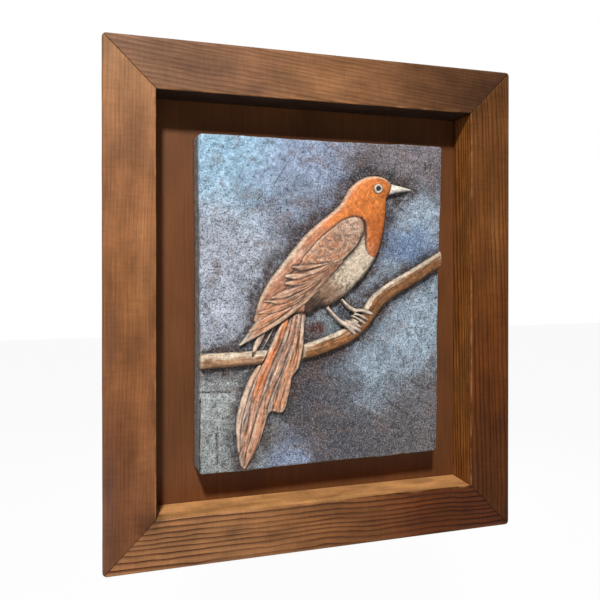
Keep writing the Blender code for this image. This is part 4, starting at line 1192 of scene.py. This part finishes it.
class Shade:
    """A material's node tree, with short calls for the nodes that the finishes need."""

    def __init__(self, name):
        self.material = bpy.data.materials.new(name)
        self.material.use_nodes = True
        self.tree = self.material.node_tree
        self.shader = self.tree.nodes["Principled BSDF"]

    def put(self, socket, value):
        if isinstance(value, bpy.types.NodeSocket):
            self.tree.links.new(value, socket)
        else:
            socket.default_value = value

    def node(self, kind, output, inputs, **settings):
        """One output of a new node with these inputs and settings."""
        node = self.tree.nodes.new("ShaderNode" + kind)
        for name, value in settings.items():
            setattr(node, name, value)
        for name, value in inputs.items():
            self.put(node.inputs[name], value)
        return node.outputs[output]

    def attribute(self, name, output="Color"):
        return self.node("Attribute", output, {}, attribute_name=name)

    def object_place(self):
        return self.node("TexCoord", "Object", {})

    def noise(self, vector, scale, detail, roughness):
        inputs = {"Vector": vector, "Scale": scale, "Detail": detail, "Roughness": roughness}
        return self.node("TexNoise", "Fac", inputs)

    def stretched_noise(self, vector, scales, detail, roughness):
        stretched = self.node("Mapping", "Vector", {"Vector": vector, "Scale": scales})
        return self.noise(stretched, 1.0, detail, roughness)

    def maths(self, operation, *values):
        return self.node("Math", 0, dict(enumerate(values)), operation=operation)

    def times(self, first, second):
        return self.maths("MULTIPLY", first, second)

    def between(self, value, low, high, to_low=0.0, to_high=1.0):
        inputs = {"Value": value, "From Min": low, "From Max": high, "To Min": to_low, "To Max": to_high}
        return self.node("MapRange", "Result", inputs)

    def mix(self, share, first, second, how="MIX"):
        first, second = [(*value, 1) if isinstance(value, tuple) else value for value in (first, second)]
        settings = {"data_type": "RGBA", "blend_type": how, "clamp_factor": True}
        return self.node("Mix", 2, {"Factor": share, 6: first, 7: second}, **settings)

    def tinted(self, colour, value, share=1.0):
        return self.mix(share, colour, value, "MULTIPLY")

    def bump(self, height, strength, distance):
        return self.node("Bump", "Normal", {"Height": height, "Strength": strength, "Distance": distance})

    def finish(self, colour, roughness, normal, specular):
        for name, value in (("Base Color", colour), ("Roughness", roughness), ("Normal", normal)):
            self.put(self.shader.inputs[name], value)
        self.shader.inputs["Specular IOR Level"].default_value = specular
        return self.material


def painted_tile_finish():
    """Thin paint over a gritty cast: dark wash in its pores, dry pale paint on its high grains."""
    shade = Shade("painted_cast_tile")
    place = shade.object_place()
    strand = shade.attribute("strand", "Vector")
    base = shade.attribute("paint")
    grit = shade.attribute("grit", "Fac")
    grain = shade.noise(place, 1000, 3.0, 0.7)
    coarse = shade.noise(place, 330, 2.0, 0.6)
    fibre = shade.stretched_noise(strand, (160, 1500, 160), 3.0, 0.6)
    dark = shade.times(shade.between(grain, 0.50, 0.37), shade.times(grit, 0.94))
    light = shade.times(shade.between(grain, 0.52, 0.63), shade.times(grit, 0.22))
    colour = shade.mix(dark, base, paint(42, 40, 42))
    colour = shade.mix(light, colour, paint(196, 204, 214))
    colour = shade.tinted(colour, (1.5, 1.5, 1.54), shade.times(light, 1.4))
    colour = shade.tinted(colour, shade.between(coarse, 0.3, 0.7, 0.68, 1.30))
    on_figure = shade.between(grit, 0.5, 0.3)
    colour = shade.mix(on_figure, colour, shade.tinted(colour, shade.between(fibre, 0.30, 0.70, 0.66, 1.30)))
    bumps = shade.maths("ADD", shade.times(grain, grit), shade.times(fibre, on_figure))
    roughness = shade.between(grain, 0.3, 0.7, 0.50, 0.72)
    return shade.finish(colour, roughness, shade.bump(bumps, 0.55, 0.0005), 0.22)


def frame_wood_finish():
    """Stained and waxed softwood: hard dark rings, fibres along the grain, and small pores."""
    shade = Shade("stained_frame_wood")
    grain = shade.attribute("grain", "Vector")
    share = shade.maths("FRACT", shade.attribute("ring", "Fac"))
    hard = shade.times(shade.between(share, 0.45, 0.92), shade.between(share, 1.0, 0.93))
    fibre = shade.stretched_noise(grain, (34, 1500, 1500), 4.0, 0.65)
    cross = shade.stretched_noise(grain, (700, 120, 120), 2.0, 0.5)
    cloud = shade.stretched_noise(grain, (30, 90, 90), 3.0, 0.55)
    colour = shade.tinted(shade.attribute("stain"), shade.between(fibre, 0.28, 0.72, 0.80, 1.20))
    colour = shade.tinted(colour, shade.between(cloud, 0.3, 0.7, 0.78, 1.20))
    colour = shade.tinted(colour, shade.between(cross, 0.3, 0.7, 0.93, 1.08))
    dark = shade.tinted(colour, paint(120, 92, 76))
    colour = shade.mix(shade.times(hard, shade.attribute("bold", "Fac")), colour, dark)
    height = shade.maths("ADD", shade.times(fibre, 0.7), shade.times(hard, 0.5))
    roughness = shade.between(fibre, 0.3, 0.7, 0.40, 0.56)
    return shade.finish(colour, roughness, shade.bump(height, 0.35, 0.0004), 0.15)


def board_finish():
    """A thin stained board: fine upright fibres under a thin, slightly uneven coat."""
    shade = Shade("stained_board")
    place = shade.object_place()
    fibre = shade.stretched_noise(place, (900, 900, 30), 4.0, 0.6)
    cloud = shade.stretched_noise(place, (26, 26, 12), 3.0, 0.5)
    colour = shade.mix(shade.between(cloud, 0.3, 0.7), paint(92, 55, 30), paint(114, 69, 37))
    colour = shade.tinted(colour, shade.between(fibre, 0.3, 0.7, 0.86, 1.12))
    roughness = shade.between(cloud, 0.3, 0.7, 0.42, 0.55)
    return shade.finish(colour, roughness, shade.bump(fibre, 0.2, 0.0003), 0.18)


def tints(*screen_colours):
    return [paint(*screen_colour) for screen_colour in screen_colours]


def frame_rails():
    top, side = FRAME_HEIGHT / 2, FRAME_WIDTH / 2
    # Each wall tint is the stain with painted light and shade: darker on the walls that face away from the
    # lamp at the upper left, under the top rail and on the left stile, lighter on those that face it, on the
    # bottom rail and the right stile.
    return [
        Rail("frame_top_rail", "stained_top_rail", FRAME_WIDTH, (0, top), 0,
             (0.070, 0.020), 0.10, 1.9 * MM, 0.04 * MM, 0.30, 0.3, paint(50, 35, 27),
             tints((122, 86, 62), (122, 85, 60), (138, 95, 62), (98, 64, 40), (72, 45, 27)), 101),
        Rail("frame_bottom_rail", "stained_bottom_rail", FRAME_WIDTH, (0, -top), math.pi,
             (-0.030, -0.012), 0.015, 3.1 * MM, 0.22 * MM, 0.90, 0.25, paint(198, 142, 88),
             tints((72, 32, 8), (92, 46, 16), (130, 84, 48), (150, 104, 66), (154, 104, 66)), 201),
        Rail("frame_right_stile", "stained_right_stile", FRAME_HEIGHT, (side, 0), math.pi / 2,
             (0.062, 0.010), -0.03, 2.2 * MM, 0.06 * MM, 0.60, 1.0, paint(150, 94, 44),
             tints((104, 64, 30), (106, 64, 28), (104, 58, 22), (92, 48, 14), (76, 38, 8)), 301),
        Rail("frame_left_stile", "stained_left_stile", FRAME_HEIGHT, (-side, 0), -math.pi / 2,
             (-0.036, 0.010), 0.02, 1.7 * MM, 0.03 * MM, 0.16, 0.2, paint(104, 66, 40),
             tints((108, 66, 40), (120, 74, 44), (128, 82, 48), (140, 92, 58), (152, 108, 72)), 401),
    ]


# Camera, light and floor.

CAMERA_PLACE = (-0.12106, -0.39653, 0.02138)
CAMERA_TURN = -15.887
CAMERA_TILT = -0.23
CAMERA_LENS = 36.317
CAMERA_RISE = -0.0488
LAMPS = [
    # name, place, power and size
    ("lamp", (-0.35, -1.03, 0.977), 24.5, 0.13),
    ("back lamp", (0.45, 1.10, 0.45), 9.0, 0.6),
]
FLOOR_DROP = 0.30
FLOOR_HALF_SIZE = 4
FLOOR_GLOW = 0.94
SKY_STRENGTH = 0.16
WHITE = (1, 1, 1, 1)


def placed(name, data):
    item = bpy.data.objects.new(name, data)
    bpy.context.scene.collection.objects.link(item)
    return item


def make_camera():
    data = bpy.data.cameras.new("camera")
    data.sensor_width = 36
    data.lens = CAMERA_LENS
    data.shift_y = CAMERA_RISE
    camera = placed("camera", data)
    camera.location = CAMERA_PLACE
    camera.rotation_euler = (math.radians(90 + CAMERA_TILT), 0, math.radians(CAMERA_TURN))
    bpy.context.scene.camera = camera


def make_lamps():
    """Square lamps that face the middle of the panel."""
    for name, place, power, size in LAMPS:
        data = bpy.data.lights.new(name, "AREA")
        data.energy = power
        data.size = size
        lamp = placed(name, data)
        lamp.location = place
        lamp.rotation_euler = (-Vector(place)).to_track_quat("-Z", "Y").to_euler()


def seen_as(tree, share, usual, seen, surface):
    """A surface that looks one way to the camera and lights the rest in another way."""
    choose = tree.nodes.new("ShaderNodeMixShader")
    for socket, value in zip(choose.inputs, (share, usual, seen)):
        tree.links.new(value, socket)
    tree.links.new(choose.outputs["Shader"], tree.nodes[surface].inputs["Surface"])


def make_surroundings():
    """Soft even light all round, seen as white, over a plain pale floor."""
    world = bpy.data.worlds.new("studio")
    bpy.context.scene.world = world
    world.use_nodes = True
    tree = world.node_tree
    soft = tree.nodes["Background"]
    soft.inputs["Color"].default_value = (1.0, 0.98, 0.96, 1)
    soft.inputs["Strength"].default_value = SKY_STRENGTH
    white = tree.nodes.new("ShaderNodeBackground")
    white.inputs["Color"].default_value = WHITE
    path = tree.nodes.new("ShaderNodeLightPath")
    seen_as(tree, path.outputs["Is Camera Ray"], soft.outputs[0], white.outputs[0], "World Output")

    shade = Shade("pale_floor")
    shade.shader.inputs["Base Color"].default_value = (0.92, 0.92, 0.91, 1)
    shade.shader.inputs["Roughness"].default_value = 0.8
    glow = shade.node("Emission", 0, {"Color": WHITE})
    seen = shade.times(shade.node("LightPath", "Is Camera Ray", {}), FLOOR_GLOW)
    seen_as(shade.tree, seen, shade.shader.outputs[0], glow, "Material Output")
    bm = bmesh.new()
    bmesh.ops.create_grid(bm, x_segments=1, y_segments=1, size=FLOOR_HALF_SIZE)
    bmesh.ops.translate(bm, verts=bm.verts, vec=(0, 0, -FRAME_HEIGHT / 2 - FLOOR_DROP))
    mesh = bpy.data.meshes.new("floor")
    bm.to_mesh(mesh)
    bm.free()
    mesh.materials.append(shade.material)
    floor = placed("floor", mesh)


make_camera()
make_lamps()
make_surroundings()
wood = frame_wood_finish()
for rail in frame_rails():
    make_rail(rail, wood)
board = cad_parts["back_board"]
board.data.materials.clear()
board.data.materials.append(board_finish())
make_tile(painted_tile_finish())
bpy.context.scene.view_settings.view_transform = "Standard"
